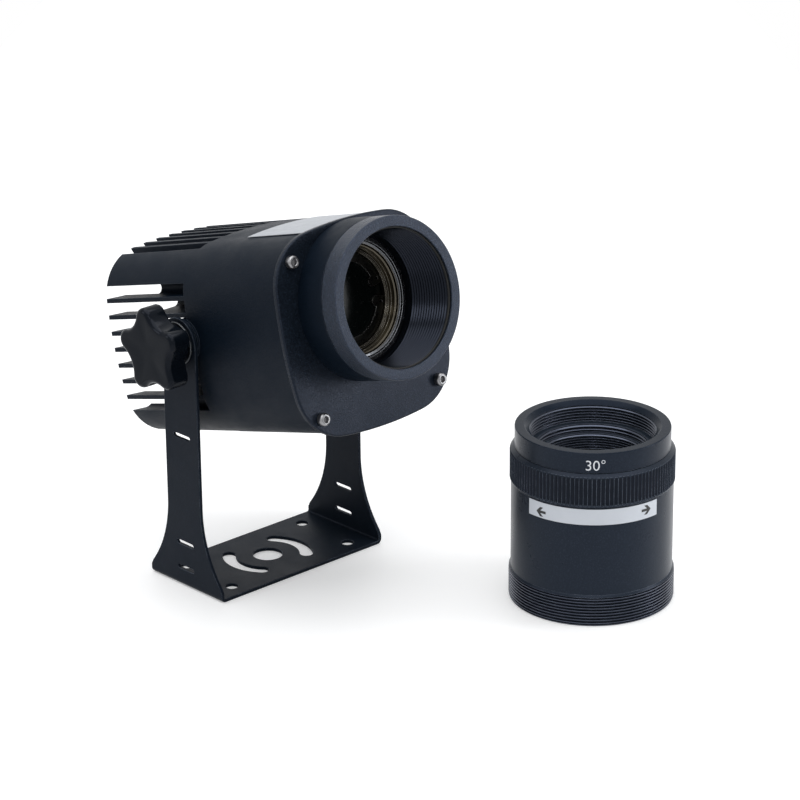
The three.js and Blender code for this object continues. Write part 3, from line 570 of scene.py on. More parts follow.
# A darker anodising for the lens's top face: painted shade on the up-facing rim.
lens_top_shade_coat = coat_material(
    "lens_rim_anodised_painted_shade", 0.005, grain=0.02, rough=0.26, specular=0.09, blue=2.0, **ANODISED
)
thread_coat = coat_material("thread_anodised", 0.003, rough=0.24, edge_highlight=0.3, specular=0.9, **THREADED)
bore_coat = coat_material("bore_anodised", 0.002, rough=0.2, edge_highlight=0.06, specular=0.22, **THREADED)
# The matt black of the optics parts, also used as painted shade in thread roots and flute floors.
black_and_shade_coat = coat_material("optics_matt_black_and_painted_shade", 0.002, grain=0.03, rough=0.6, specular=0.25)
knob_plastic = plastic_material("knob_gloss_plastic", 0.003, 0.14, 0.09)
gland_plastic = plastic_material("gland_plastic", 0.008, 0.38, 0.0, grain=0.03)
rubber = rubber_material("black_rubber", 0.006)
screw_steel = metal_material("screw_steel", (0.28, 0.28, 0.29, 1), 0.3, 900, mark=0.002, edge_highlight=0.15)
holder_steel = metal_material(
    "holder_steel", (0.10, 0.09, 0.07, 1), 0.16, 300, axis="Z", mark=0.0008, edge_highlight=0.3
)
# A brighter steel for the carrier's front faces: a painted highlight.
front_highlight_steel = metal_material("front_highlight_steel", (0.22, 0.23, 0.25, 1), 0.22, 300, mark=0.0006, edge_highlight=0.2)
clip_steel = metal_material(
    "clip_blackened_steel", (0.03, 0.03, 0.028, 1), 0.28, 260, mark=0.0008, edge_highlight=0.4
)
washer_steel = metal_material("washer_steel", (0.10, 0.11, 0.12, 1), 0.3, 700)
bare_aluminium = metal_material("bare_aluminium", (0.7, 0.71, 0.73, 1), 0.35, 380, axis="Z")
brass = metal_material("turned_brass", (0.72, 0.5, 0.2, 1), 0.3, 500)
driver_case = metal_material("driver_case", (0.34, 0.35, 0.37, 1), 0.45, stretch=(0.05, 1.0, 1.0))
gobo_dark_glass = glass_material("gobo_glass_dark", (0.004, 0.006, 0.006, 1), 0.1, 1.2, rough=0.08)
lens_glass = glass_material("lens_glass_coated", (0.86, 0.93, 0.96, 1), 1.0, 1.52)
top_silver = label_material("top_label_film", 0.38)
band_silver = label_material("lens_band_film", 0.58)
white_print = print_material("white_print", 0.8)
black_print = print_material("black_print", 0.012)
lamp_board = lamp_material(
    "lamp_board_mask", 160, (0.66, 0.66, 0.62, 1), (0.8, 0.8, 0.77, 1), 0.45, "noise", 0.02
)
phosphor = lamp_material(
    "lamp_phosphor", 400, (0.72, 0.55, 0.08, 1), (0.85, 0.68, 0.15, 1), 0.35, "cells", 0.05
)

# ---- body of the head

SEAT = 0.15  # gap between a piece and what it sits on
OVERRUN = 5  # how far a cutter reaches past what it cuts
BODY_HALF, BODY_DRAFT, BODY_REAR = 54.1, 1.6, 67.3
CROWN_RADIUS, CROWN_STEPS = 250.0, 16
BODY_CORNER, CORNER_STEPS = 27.5, 14
PLATE_FRONT, PLATE_THICKNESS, PLATE_OVERHANG, PLATE_CHAMFER = 86.8, 3.0, 2.9, 1.0
PLATE_REAR_CHAMFER = 0.3
GASKET_THICKNESS, GASKET_WIDTH = 0.5, 3.0
BODY_FRONT = PLATE_FRONT - PLATE_THICKNESS - 2 * SEAT - GASKET_THICKNESS
BODY_CHAMFER = 0.5
FIN_MARGIN, FIN_THICKNESS, WEB, CORE_HALF = 17.3, 2.4, 8.5, 22.0
GROOVES, GROOVE_FRONT = 8, 3.9
FIN_DEPTH, FIN_BEVEL, FIN_TIP = 9.0, 5.5, 0.6
POCKET_FLOOR = 30.7
CHAMBER_FLOOR, CHAMBER_WALL = 12.4, 4.0
BOSS_RADIUS, BOSS_FACE = 12, 56
SOCKET_RADIUS, SOCKET_DEPTH = 7.15, 16.15
CABLE_RADIUS, CABLE_DROP = 6.05, 12
BARREL_RADIUS = 43.7
SPIGOT_RADIUS, SPIGOT_GAP = 40.15, 0.3
SPIGOT_LOW, SPIGOT_HIGH = 70, 95
LABEL_HALF, LABEL_REAR, LABEL_FRONT, FILM_THICKNESS = 25.5, 34.0, BODY_FRONT - 1.5, 0.3


def body_outline(growth):
    """The body's section: four crowned sides with round corners tangent to them."""
    crown_back = CROWN_RADIUS - BODY_HALF
    span = CROWN_RADIUS - BODY_CORNER
    corner = (sqrt(2 * span * span - crown_back * crown_back) - crown_back) / 2
    spread = asin(corner / span)
    points = []
    for side in range(4):
        turn = side * pi / 2
        c, s = cos(turn), sin(turn)
        crown = (-crown_back * c, -crown_back * s)
        middle = (corner * c - corner * s, corner * s + corner * c)
        last = turn + pi / 2 - spread
        points += arc(*crown, CROWN_RADIUS + growth, turn - spread, turn + spread, CROWN_STEPS)[:-1]
        points += arc(*middle, BODY_CORNER + growth, turn + spread, last, CORNER_STEPS)[:-1]
    return points


def body_loft(*levels):
    """A solid through the body's section, from levels of (growth, height)."""
    return loft_mesh([(body_outline(growth), z) for growth, z in levels])


def draft_at(z):
    """How far the drafted body stands out past its rear section at a height."""
    return BODY_DRAFT * (z + BODY_REAR) / (BODY_FRONT + BODY_REAR)


def groove_mesh(side, index):
    """The cutter of one full-radius groove of the heat sink."""
    pitch = 2 * (BODY_HALF - FIN_MARGIN) / GROOVES
    middle = (index - (GROOVES - 1) / 2) * pitch
    radius = (pitch - FIN_THICKNESS) / 2
    bottom = max(abs(middle) + WEB, CORE_HALF) + radius
    outside = BODY_HALF + OVERRUN
    outline = [(middle - radius, outside)] + arc(middle, bottom, radius, pi, FULL_TURN, 12)
    outline += [(middle + radius, outside)]
    made = loft_mesh([(outline, -BODY_REAR - OVERRUN), (outline, GROOVE_FRONT)])
    return moved(made, Matrix.Rotation(side * pi / 2, 4, "Z"))


def pivot_cylinder(side, radius, low, high):
    return moved(rod_at(0, 0, radius, low, high), Matrix.Translation((0, BODY_DROP, 0)) @ sideways(side))


def spigot_cutter(segments):
    """The room for the barrel's spigot, on the optical axis."""
    return rod_at(0, BODY_DROP + AXIS_RISE, SPIGOT_RADIUS + SPIGOT_GAP, SPIGOT_LOW, SPIGOT_HIGH, segments)


def housing_mesh():
    """The heat sink: drafted block, grooves, rear bevel and pocket, lamp chamber and pivot bosses."""
    behind = -BODY_REAR - OVERRUN
    chamber_front = BODY_FRONT + OVERRUN
    block = body_loft(
        (0, -BODY_REAR),
        (BODY_DRAFT - BODY_CHAMFER / 2, BODY_FRONT - BODY_CHAMFER / 2),
        (BODY_DRAFT - BODY_CHAMFER, BODY_FRONT),
    )
    slope = (FIN_DEPTH - FIN_TIP) / FIN_BEVEL
    well = body_loft((-FIN_DEPTH, behind), (-FIN_DEPTH, -POCKET_FLOOR))
    bevel = body_loft((OVERRUN * slope - FIN_TIP, behind), (-FIN_DEPTH, FIN_BEVEL - BODY_REAR))
    chamber = body_loft(
        (draft_at(CHAMBER_FLOOR) - CHAMBER_WALL, CHAMBER_FLOOR),
        (draft_at(chamber_front) - CHAMBER_WALL, chamber_front),
    )
    grooves = [groove_mesh(side, i) for side in range(4) for i in range(GROOVES)]
    bosses = [pivot_cylinder(side, BOSS_RADIUS, CORE_HALF / 2, BOSS_FACE) for side in (-1, 1)]
    sockets = [
        pivot_cylinder(side, SOCKET_RADIUS, BOSS_FACE - SOCKET_DEPTH, BOSS_FACE + OVERRUN) for side in (-1, 1)
    ]
    cable = rod_at(0, -CABLE_DROP, CABLE_RADIUS, -POCKET_FLOOR - OVERRUN, CHAMBER_FLOOR + OVERRUN, 32)
    last_cuts = sockets + [cable, spigot_cutter(FINE)]
    return combined(
        block,
        [("DIFFERENCE", grooves + [well, bevel, chamber]), ("UNION", bosses), ("DIFFERENCE", last_cuts)],
    )


def front_plate_mesh():
    rear = PLATE_FRONT - PLATE_THICKNESS
    over = PLATE_OVERHANG
    turns = [radians(angle) for angle in (0, 22, 45, 68, 90)]
    levels = [(over - PLATE_REAR_CHAMFER, rear), (over, rear + PLATE_REAR_CHAMFER)]
    levels += round_over(over, PLATE_FRONT, PLATE_CHAMFER, turns)
    return combined(body_loft(*levels), [("DIFFERENCE", [spigot_cutter(ROUND)])])


def gasket_mesh():
    low = BODY_FRONT + SEAT
    outer = BODY_DRAFT - BODY_CHAMFER
    outlines = [body_outline(outer), body_outline(outer - GASKET_WIDTH)]
    return plate_mesh(outlines, low, low + GASKET_THICKNESS, 0.1)


def top_film_mesh():
    """A thin film on the top crown that follows the drafted body."""
    low, high = SEAT, SEAT + FILM_THICKNESS
    rows = []
    for gap, far in ((low, LABEL_REAR), (low, LABEL_FRONT), (high, LABEL_FRONT), (high, LABEL_REAR)):
        radius = CROWN_RADIUS + draft_at(far) + gap
        reach = asin(LABEL_HALF / radius)
        row = arc(0, BODY_HALF - CROWN_RADIUS, radius, pi / 2 - reach, pi / 2 + reach, 24)
        rows.append([(x, y, far) for x, y in row])
    return skin(list(zip(*rows)))


finish_mesh("fin_housing", housing_mesh(), BODY, "head", black_coat, 24, "heatsink_housing")
finish_mesh("mounting_plate", front_plate_mesh(), BODY, "head", plate_coat, 30, "front_plate")
finish_mesh("plate_seal", gasket_mesh(), BODY, "head", rubber, 30, "plate_gasket")
finish_mesh("top_film", top_film_mesh(), BODY, "head", top_silver, 30, "top_label")

SCREW_OFFSET, SCREW_TURN = 42.6, 0.4
SHANK_RADIUS, SHANK_LENGTH = 2, 12
SCREW_RADIUS, SCREW_HEIGHT = 3.5, 4
SOCKET_CORNER, SOCKET_BOTTOM, HEX_DEPTH = 1.7, 1.2, 2.2


def screw_mesh():
    """A cap screw: domed head with a rolled shoulder and a hexagon socket."""
    under = PLATE_FRONT + SEAT
    top = under + SCREW_HEIGHT
    edge = SCREW_RADIUS
    profile = about(0, under, (0, -SHANK_LENGTH), (SHANK_RADIUS, -SHANK_LENGTH), (SHANK_RADIUS, 0))
    profile += about(edge, under, (-0.2, 0), (0, 0.2)) + [(edge, top - 1.5)]
    profile += [(edge - 1.1 * (1 - cos(a)), top - 1.5 + 1.3 * sin(a)) for a in (0.4, 0.8, 1.2)]
    profile += about(0, top, (2.75, -0.18), (2.68, -0.42), (2.5, -0.42), (2.42, -0.08), (2.0, -0.05))
    socket = range(len(profile), len(profile) + 3)
    profile += about(SOCKET_CORNER, top, (0, -0.3), (0, -HEX_DEPTH))
    profile += about(0, top, (SOCKET_BOTTOM, -HEX_DEPTH), (0, -2.5))

    def wave(k, angle):
        rounded = k in socket and profile[k][1] < top - 0.4
        return hex_radius(angle, profile[k][0]) - profile[k][0] if rounded else 0.0

    return lathe_mesh(profile, 48, wave)


for number, (across, up) in enumerate(((1, 1), (-1, 1), (-1, -1), (1, -1)), 1):
    corner = BODY @ shift(across * SCREW_OFFSET, up * SCREW_OFFSET, 0)
    place = corner @ Matrix.Rotation(SCREW_TURN * number, 4, "Z")
    name = "cap_screw_%d" % number
    finish_mesh(name, screw_mesh(), place, "head", screw_steel, 28, "plate_screw_%d" % number)

# ---- threads

THREAD_DEPTH = 0.7
THREAD_SLACK = 0.2  # how far from a thread's own band a face still belongs to it
ROOT_SHARE = 0.8  # of the depth, past which a face is a root
UNDERSIDE = -0.3  # the slope at which a flank counts as the lower one


def thread_profile(radius, depth, low, high, pitch, outside=True):
    """Points up a threaded wall, from low to high, as a row of crests and roots."""
    points = []
    turns = max(1, int((high - low) / pitch))
    step = (high - low) / turns
    root = radius - depth if outside else radius + depth
    for i in range(turns):
        z = low + i * step
        points += [(root, z + step * 0.12), (radius, z + step * 0.42)]
        points += [(radius, z + step * 0.62), (root, z + step * 0.92)]
    return points


def bore_thread(radius, low, high, pitch):
    """Points down a threaded bore."""
    return list(reversed(thread_profile(radius, THREAD_DEPTH, low, high, pitch, outside=False)))


def thread_gloss_and_shade(piece, crest, depth, low, high, gloss, outside=True):
    """Along a thread: glossy crests and upper flanks; roots and lower flanks get the dark coat as painted
    shade.
    """

    def away(middle):
        radius = hypot(middle.x, middle.y)
        return crest - radius if outside else radius - crest

    def threaded(middle, normal):
        return -THREAD_SLACK < away(middle) < depth + THREAD_SLACK and low < middle.z < high

    def shaded(middle, normal):
        return threaded(middle, normal) and (away(middle) > ROOT_SHARE * depth or normal.z < UNDERSIDE)

    second_finish(piece, gloss, threaded)
    # Painted shade in the roots and on the downward flanks.
    second_finish(piece, black_and_shade_coat, shaded)


# ---- barrel and gobo

BARREL_FRONT, COLLAR, SEAM_GAP, BARREL_EDGE = 117.8, 11.2, 0.3, 0.7
BARREL_REAR = 75.45
BORE, MOUTH, SLEEVE, BARREL_BORE = 37.0, 37.7, 38.2, 38.35
MOUTH_DEPTH = 1.0
SLEEVE_PITCH, SLEEVE_CREST, SLEEVE_SET_BACK = 2.0, BORE + 0.05, 3.6
GATE_FLOOR, GATE_BACK, GATE_RADIUS, GATE_BORE, GATE_WALL = 80.3, 78.3, 33.5, 24, 2.7
GATE_GAP = 0.3
CORD_RADIUS = 0.65
HOLDER, HOLDER_LENGTH, HOLDER_FLOOR, HOLDER_BORE = 31.0, 14.5, 1.8, 21.5
HOLDER_FLANGE = HOLDER + 3.4
GLASS_RADIUS, GLASS_SEAT, GLASS_THICKNESS = 25.7, 26, 2
CLIP_WIDTH, CLIP_THICKNESS, CLIP_GAP = 4.8, 1.4, radians(8)
EYE_TURN, EYE_RADIUS, EYE_HOLE, EYE_INSET = radians(15), 3, 0.9, 1.8

SEAM = BARREL_FRONT - COLLAR
SLEEVE_FRONT = BARREL_FRONT - SLEEVE_SET_BACK
MOUTH_STEP = BARREL_FRONT - MOUTH_DEPTH
HOLDER_REAR = GATE_FLOOR + 4 - HOLDER_LENGTH
HOLDER_FRONT = HOLDER_REAR + HOLDER_LENGTH
GATE_REAR = HOLDER_REAR - GATE_GAP - GATE_WALL
PLATE_SEAT = PLATE_FRONT + SEAT

barrel_base = [
    (GATE_RADIUS + GATE_GAP, BARREL_REAR), (SPIGOT_RADIUS, BARREL_REAR), (SPIGOT_RADIUS, PLATE_SEAT),
    (BARREL_RADIUS, PLATE_SEAT), (BARREL_RADIUS, SEAM - SEAM_GAP), (BARREL_BORE, SEAM - SEAM_GAP),
    (BARREL_BORE, GATE_BACK - SEAT), (GATE_RADIUS + GATE_GAP, GATE_BACK - SEAT),
]
turned_piece("barrel_rear", softened(barrel_base, 0.3), OPTICS, "head", black_coat, 30, "barrel_base")

collar = [(BARREL_BORE, SEAM), (BARREL_RADIUS - 0.15, SEAM), (BARREL_RADIUS, SEAM + 0.15)]
collar += round_over(BARREL_RADIUS, BARREL_FRONT, BARREL_EDGE)
collar += about(MOUTH, BARREL_FRONT, (0.6, 0), (0.25, -0.15), (0, -0.6))
collar += [(MOUTH, MOUTH_STEP), (BARREL_BORE, MOUTH_STEP)]
turned_piece("barrel_front", collar, OPTICS, "head", rim_coat, 30, "barrel_collar")

sleeve = [(SLEEVE, GATE_FLOOR + SEAT), (SLEEVE, SLEEVE_FRONT), (BORE + 0.6, SLEEVE_FRONT)]
sleeve += bore_thread(SLEEVE_CREST, 85.0, SLEEVE_FRONT - 0.4, SLEEVE_PITCH)
sleeve += [(BORE + 0.35, 84.6), (BORE + 0.35, GATE_FLOOR + SEAT)]
threaded_sleeve = turned_piece("threaded_sleeve", sleeve, OPTICS, "head", black_and_shade_coat, 20, "thread_sleeve")
thread_gloss_and_shade(threaded_sleeve, SLEEVE_CREST, THREAD_DEPTH, 84.7, SLEEVE_FRONT - 0.2, bore_coat, outside=False)

seal_middle = (BARREL_BORE - SEAT - CORD_RADIUS, (SLEEVE_FRONT + MOUTH_STEP) / 2)
turned_piece("mouth_seal", circle(*seal_middle, CORD_RADIUS, 16), OPTICS, "head", rubber, 60, "mouth_o_ring")

gate_floor = GATE_REAR + GATE_WALL
gate = [
    (GATE_BORE, GATE_REAR), (GATE_RADIUS, GATE_REAR), (GATE_RADIUS, GATE_BACK), (SLEEVE, GATE_BACK),
    (SLEEVE, GATE_FLOOR), (HOLDER + GATE_GAP, GATE_FLOOR), (HOLDER + GATE_GAP, gate_floor),
    (GATE_BORE, gate_floor),
]
turned_piece("gobo_gate_ring", softened(gate, 0.25), OPTICS, "head", black_and_shade_coat, 30, "gobo_gate")

flange_low, glass_floor = GATE_FLOOR + GATE_GAP, HOLDER_REAR + HOLDER_FLOOR
holder = [(HOLDER_BORE, HOLDER_REAR), (HOLDER, HOLDER_REAR)]
holder += [(HOLDER, flange_low), (HOLDER_FLANGE, flange_low)]
holder += about(
    0, HOLDER_FRONT, (HOLDER_FLANGE, 0), (32.0, 0), (31.6, -1.4), (30.2, -1.7), (29.9, -3), (29, -3.3),
    (29, -6), (27, -6), (27, -7.2), (GLASS_SEAT, -7.2),
)
holder += [(GLASS_SEAT, glass_floor), (HOLDER_BORE, glass_floor)]
carrier = turned_piece(
    "gobo_carrier", softened(holder, 0.35), OPTICS, "gobo_holder", holder_steel, 30, "gobo_holder_ring"
)
# Painted highlight: the carrier's front faces get the brighter steel.
second_finish(carrier, front_highlight_steel, lambda middle, normal: middle.z > HOLDER_FRONT - 1.6)

glass_low = glass_floor + SEAT
glass_high = glass_low + GLASS_THICKNESS
disc = [(0, glass_low)] + about(GLASS_RADIUS, glass_low, (-0.3, 0), (0, 0.3))
disc += about(GLASS_RADIUS, glass_high, (0, -0.3), (-0.3, 0)) + [(0, glass_high)]
turned_piece("gobo_disc", disc, OPTICS, "gobo_holder", gobo_dark_glass, 30, "gobo_glass")


def snap_ring_mesh():
    """An open flat ring with a pierced eye at each end."""
    low = glass_floor + 2 * SEAT + GLASS_THICKNESS
    high = low + CLIP_THICKNESS
    outer, inner = GLASS_SEAT - SEAT, GLASS_SEAT - SEAT - CLIP_WIDTH
    last = FULL_TURN - CLIP_GAP
    outline = arc(0, 0, outer, CLIP_GAP, last, ROUND) + arc(0, 0, inner, last, CLIP_GAP, ROUND)

    def pair(reach, radius, bottom, top, segments):
        return [
            rod_at(reach * cos(turn), reach * sin(turn), radius, bottom, top, segments)
            for turn in (-EYE_TURN, EYE_TURN)
        ]

    eyes = pair(inner, EYE_RADIUS, low, high, 40)
    holes = pair(outer - EYE_INSET, EYE_HOLE, low - 2, high + 2, 32)
    flat = plate_mesh([outline], low, high, 0.15)
    return combined(flat, [("UNION", eyes), ("DIFFERENCE", holes)])


finish_mesh("gobo_clip", snap_ring_mesh(), OPTICS, "gobo_holder", clip_steel, 30, "gobo_snap_ring")

# ---- clamps

LOBES, LOBE_TIP, LOBE_VALLEY, LOBE_RADIUS, LOBE_TURN = 5, 24.2, 17.6, 6.0, radians(-4)
KNOB_THICKNESS, KNOB_EDGE = 12.8, 2.6
HUB_RADIUS, HUB_BORE, HUB_LENGTH = 11, 4.15, 7.6
ARM_OUTER, SHEET, BEND = 60.0, 2.0, 3.0
WASHER_THICKNESS, WASHER_BORE = 1.2, 4.3


def knob_outline(steps=14):
    """Round lobes joined by hollows that run on tangent to them."""
    step = pi / LOBES
    centre = LOBE_TIP - LOBE_RADIUS
    reach = centre * cos(step)
    spare = centre ** 2 + LOBE_VALLEY ** 2 - 2 * LOBE_VALLEY * reach - LOBE_RADIUS ** 2
    hollow = spare / (2 * (LOBE_RADIUS + reach - LOBE_VALLEY))
    hollow_centre = LOBE_VALLEY + hollow
    meet = atan2(hollow_centre * sin(step), hollow_centre * cos(step) - centre)
    hollow_reach = meet - step
    points = []
    for i in range(LOBES):
        turn = LOBE_TURN + 2 * i * step
        lobe = (centre * cos(turn), centre * sin(turn))
        dip = (hollow_centre * cos(turn + step), hollow_centre * sin(turn + step))
        back = turn + step + pi
        points += arc(*lobe, LOBE_RADIUS, turn - meet, turn + meet, steps)
        points += arc(*dip, hollow, back + hollow_reach, back - hollow_reach, steps)[1:-1]
    return points


def inset_outline(outline, distance):
    """The outline moved inwards by a distance along its own normals."""
    count = len(outline)
    result = []
    for i, point in enumerate(outline):
        before, after = Vector(outline[i - 1]), Vector(outline[(i + 1) % count])
        run = (after - before).normalized()
        inward = Vector((-run.y, run.x))
        result.append(tuple(Vector(point) + inward * distance))
    return result


def knob_mesh():
    """A five-lobed knob: round edges, a face that dips a little in the middle and a hub behind."""
    outline = knob_outline()
    hub_face = ARM_OUTER + 2 * SEAT + WASHER_THICKNESS
    low = hub_face + HUB_LENGTH
    high = low + KNOB_THICKNESS
    rings = [(inset_outline(outline, 1.4), low), (inset_outline(outline, 0.45), low + 0.4)]
    rings.append((outline, low + 1.4))
    for i in range(7):
        a = pi / 2 * i / 6
        inset = inset_outline(outline, KNOB_EDGE * (1 - cos(a)) * 0.98)
        rings.append((inset, high - KNOB_EDGE * (1 - sin(a))))
    face = inset_outline(outline, KNOB_EDGE * 0.98)
    for shrink, dip in ((0.88, 0.03), (0.7, 0.16), (0.45, 0.34), (0.2, 0.45)):
        rings.append(([(x * shrink, y * shrink) for x, y in face], high - dip))
    hub = [(HUB_BORE, hub_face), (HUB_RADIUS - 0.5, hub_face), (HUB_RADIUS, hub_face + 0.5)]
    hub += [(HUB_RADIUS, low + 1), (HUB_BORE, low + 1)]
    return joined([loft_mesh(rings), lathe_mesh(hub, FINE)])


def washer_mesh(radius, low, high):
    """A flat washer with a small chamfer round its edge."""
    small = radius - 0.2
    profile = [(WASHER_BORE, low), (small, low), (radius, low + 0.2), (radius, high - 0.2), (small, high)]
    return lathe_mesh(profile + [(WASHER_BORE, high)], FINE)


for word, side in (("left", -1), ("right", 1)):
    place = HEAD @ sideways(side)
    washer = washer_mesh(12, ARM_OUTER + SEAT, ARM_OUTER + SEAT + WASHER_THICKNESS)
    pad = washer_mesh(11, BOSS_FACE + SEAT, ARM_OUTER - SHEET - SEAT)
    for name, mesh, body, material, sharp, node in (
        ("star_knob", knob_mesh(), word + "_clamp_knob", knob_plastic, 40, "knob"),
        ("steel_washer", washer, word + "_clamp_washer", washer_steel, 30, "pressure_washer"),
        ("friction_pad", pad, "head", rubber, 30, "friction_washer"),
    ):
        finish_mesh(word + "_" + name, mesh, place, body, material, sharp, word + "_" + node)

# ---- yoke

HALF_DEPTH, FOOT_CORNER, FOOT_DROP = 30.5, 1.5, 3
ARM_HALF, FLARE_TOP, FLARE_RADIUS = 14.0, 50.0, 66.0
MIDDLE_HOLE, PIVOT_HOLE = 8.5, 4.3
CORNER_HOLE, CORNER_ACROSS, CORNER_ALONG = 3.6, 43.5, 19.5
CURVED_SLOT, CURVED_REACH, CURVED_HALF = 22, radians(41), 3.75
ARM_SLOTS, ARM_SLOT_REACH, ARM_SLOT_HALF = (11.5, 26.5, 90.5), 5.8, 1.2
BEND_CUTS = 8
BASE_HALF = ARM_OUTER - BEND
BEND_LENGTH = BEND * pi / 2


def along(height):
    """How far out on the unbent sheet a height on the arm lies."""
    return BASE_HALF + BEND_LENGTH + (height - BEND)


def yoke_flat_outline():
    """The unbent sheet: X runs along one arm, over the base and up the other arm."""
    sweep = acos(1 - (HALF_DEPTH - FOOT_CORNER - ARM_HALF) / FLARE_RADIUS)
    foot = FLARE_TOP - FLARE_RADIUS * sin(sweep) - FOOT_DROP
    flare = arc(ARM_HALF + FLARE_RADIUS, FLARE_TOP, FLARE_RADIUS, pi + sweep, pi, 24)
    side = [(HALF_DEPTH, foot)] + flare + arc(0, PIVOT_HEIGHT, ARM_HALF, 0, pi, 40)
    side += [(-x, y) for x, y in reversed(flare)] + [(-HALF_DEPTH, foot)]
    right = [(along(height), y) for y, height in side]
    left = [(-along(height), -y) for y, height in side]
    return right + left


def yoke_holes():
    """The holes and slots of the unbent sheet."""
    holes = [circle(0, 0, MIDDLE_HOLE, 48)]
    reach, half = CURVED_REACH, CURVED_HALF
    for flip in (1, -1):
        cap = [(CURVED_SLOT * cos(a), CURVED_SLOT * sin(a)) for a in (reach, -reach)]
        slot = arc(0, 0, CURVED_SLOT + half, -reach, reach, 28)
        slot += arc(*cap[0], half, reach, reach + pi, 12)[1:-1]
        slot += arc(0, 0, CURVED_SLOT - half, reach, -reach, 28)
        slot += arc(*cap[1], half, pi - reach, FULL_TURN - reach, 12)[1:-1]
        holes.append([(flip * x, flip * y) for x, y in slot])
        for end in (-1, 1):
            holes.append(circle(flip * CORNER_ACROSS, end * CORNER_ALONG, CORNER_HOLE, 28))
        for height in ARM_SLOTS:
            s = along(height)
            slot = arc(s, ARM_SLOT_REACH, ARM_SLOT_HALF, 0, pi, 8)
            slot += arc(s, -ARM_SLOT_REACH, ARM_SLOT_HALF, pi, FULL_TURN, 8)
            holes.append([(flip * x, y) for x, y in slot])
        holes.append(circle(flip * along(PIVOT_HEIGHT), 0, PIVOT_HOLE, 28))
    return holes


def cut_across(work, x):
    """Cuts a mesh with the plane at x."""
    geometry = work.verts[:] + work.edges[:] + work.faces[:]
    place, across = Vector((x, 0, 0)), Vector((1, 0, 0))
    bmesh.ops.bisect_plane(work, geom=geometry, dist=1e-5, plane_co=place, plane_no=across)


def yoke_mesh():
    """The yoke's sheet, cut flat and then bent up at both ends of its base."""
    flat = plate_mesh([yoke_flat_outline()] + yoke_holes(), 0, SHEET, 0.28)
    with editing(flat) as work:
        for side in (-1, 1):
            for i in range(BEND_CUTS + 1):
                cut_across(work, side * (BASE_HALF + BEND_LENGTH * i / BEND_CUTS))
        for vertex in work.verts:
            s, h = abs(vertex.co.x), vertex.co.z
            sign = 1 if vertex.co.x >= 0 else -1
            if s <= BASE_HALF:
                continue
            if s < BASE_HALF + BEND_LENGTH:
                a = (s - BASE_HALF) / BEND
                vertex.co.x = sign * (BASE_HALF + (BEND - h) * sin(a))
                vertex.co.z = BEND - (BEND - h) * cos(a)
            else:
                vertex.co.x = sign * (BASE_HALF + BEND - h)
                vertex.co.z = BEND + (s - BASE_HALF - BEND_LENGTH)
    return flat


finish_mesh("yoke_sheet", yoke_mesh(), YOKE, "yoke", yoke_coat, 34, "yoke_bracket")

# ---- projection lens

LENS_HEIGHT, LENS_RADIUS = 100.0, 44.6
THREAD_RADIUS, THREAD_LENGTH, FOOT_DEPTH, FOOT_PITCH = 45.7, 17.0, 0.95, 1.6
NECK_TOP = LENS_HEIGHT - 11.8
SHOULDER = NECK_TOP - 19.2
NECK_RADIUS, GRIP_RADIUS, FRONT_RADIUS = 42.0, 45.3, 42.7
FLUTES, FLUTE_DEPTH, GRIP_BEVEL = 120, 0.8, 2.0
TUBE_BORE, TUBE_FLOOR, FOOT_BORE = 34.4, 12, 41
FRONT_EDGE, FRONT_CREST = 0.7, 34.15
MOUTH_PITCH = 1.45
INNER = 34.1
UPPER_LOW = NECK_TOP - 4.8
LOWER_LOW = UPPER_LOW - SEAT - 10
LOWER_HIGH = LOWER_LOW + 10
GLASS_EDGE, GLASS_SAG, GLASS_OPENING = 5.0, 4.0, 28.0

lens_body = [(FOOT_BORE, 0.25), (FOOT_BORE + 0.3, 0), (THREAD_RADIUS - 0.9, 0), (THREAD_RADIUS - 0.25, 0.5)]
lens_body += thread_profile(THREAD_RADIUS, FOOT_DEPTH, 0.9, THREAD_LENGTH - 0.5, FOOT_PITCH)
lens_body += [
    (THREAD_RADIUS - 0.1, THREAD_LENGTH - 0.2), (THREAD_RADIUS - 0.35, THREAD_LENGTH + 0.25),
    (LENS_RADIUS, THREAD_LENGTH + 1.1), (LENS_RADIUS, SHOULDER - 0.3), (LENS_RADIUS - 0.3, SHOULDER),
    (NECK_RADIUS, SHOULDER), (NECK_RADIUS, NECK_TOP), (TUBE_BORE, NECK_TOP),
    (TUBE_BORE, TUBE_FLOOR), (31, TUBE_FLOOR), (31, 8), (FOOT_BORE, 8),
]
tube = turned_piece("lens_tube", lens_body, LENS, "lens", lens_coat, 20, "lens_barrel")
thread_gloss_and_shade(tube, THREAD_RADIUS, FOOT_DEPTH, 0.6, THREAD_LENGTH - 0.4, thread_coat)


def grip_mesh():
    """The grip: a smooth bevelled band over a row of narrow flutes."""
    low = SHOULDER + SEAT
    bevel = NECK_TOP - GRIP_BEVEL
    profile = [
        (NECK_RADIUS + SEAT, low),
        *about(GRIP_RADIUS, low, (-0.8, 0), (-0.25, 0.25), (0, 0.8), (0, 1.2), (0, 1.6)),
        *about(GRIP_RADIUS, bevel, (0, -0.4), (-0.1, 0)),
        *about(GRIP_RADIUS, NECK_TOP, (-0.45, -1.5), (-2.5, -0.05), (-2.7, 0)),
        (NECK_RADIUS + SEAT, NECK_TOP),
    ]
    depths = {5: FLUTE_DEPTH, 6: FLUTE_DEPTH, 7: 0.65}

    def wave(k, angle):
        beat = 0.5 + 0.5 * cos(FLUTES * angle)
        return -depths.get(k, 0) * (beat ** 0.6)

    return lathe_mesh(profile, FLUTES * (8), wave)


def in_flute(middle, normal):
    """The floors of the grip's flutes."""
    sunk = hypot(middle.x, middle.y) < GRIP_RADIUS - 0.36
    return sunk and SHOULDER + 1.8 < middle.z < NECK_TOP - 2.3


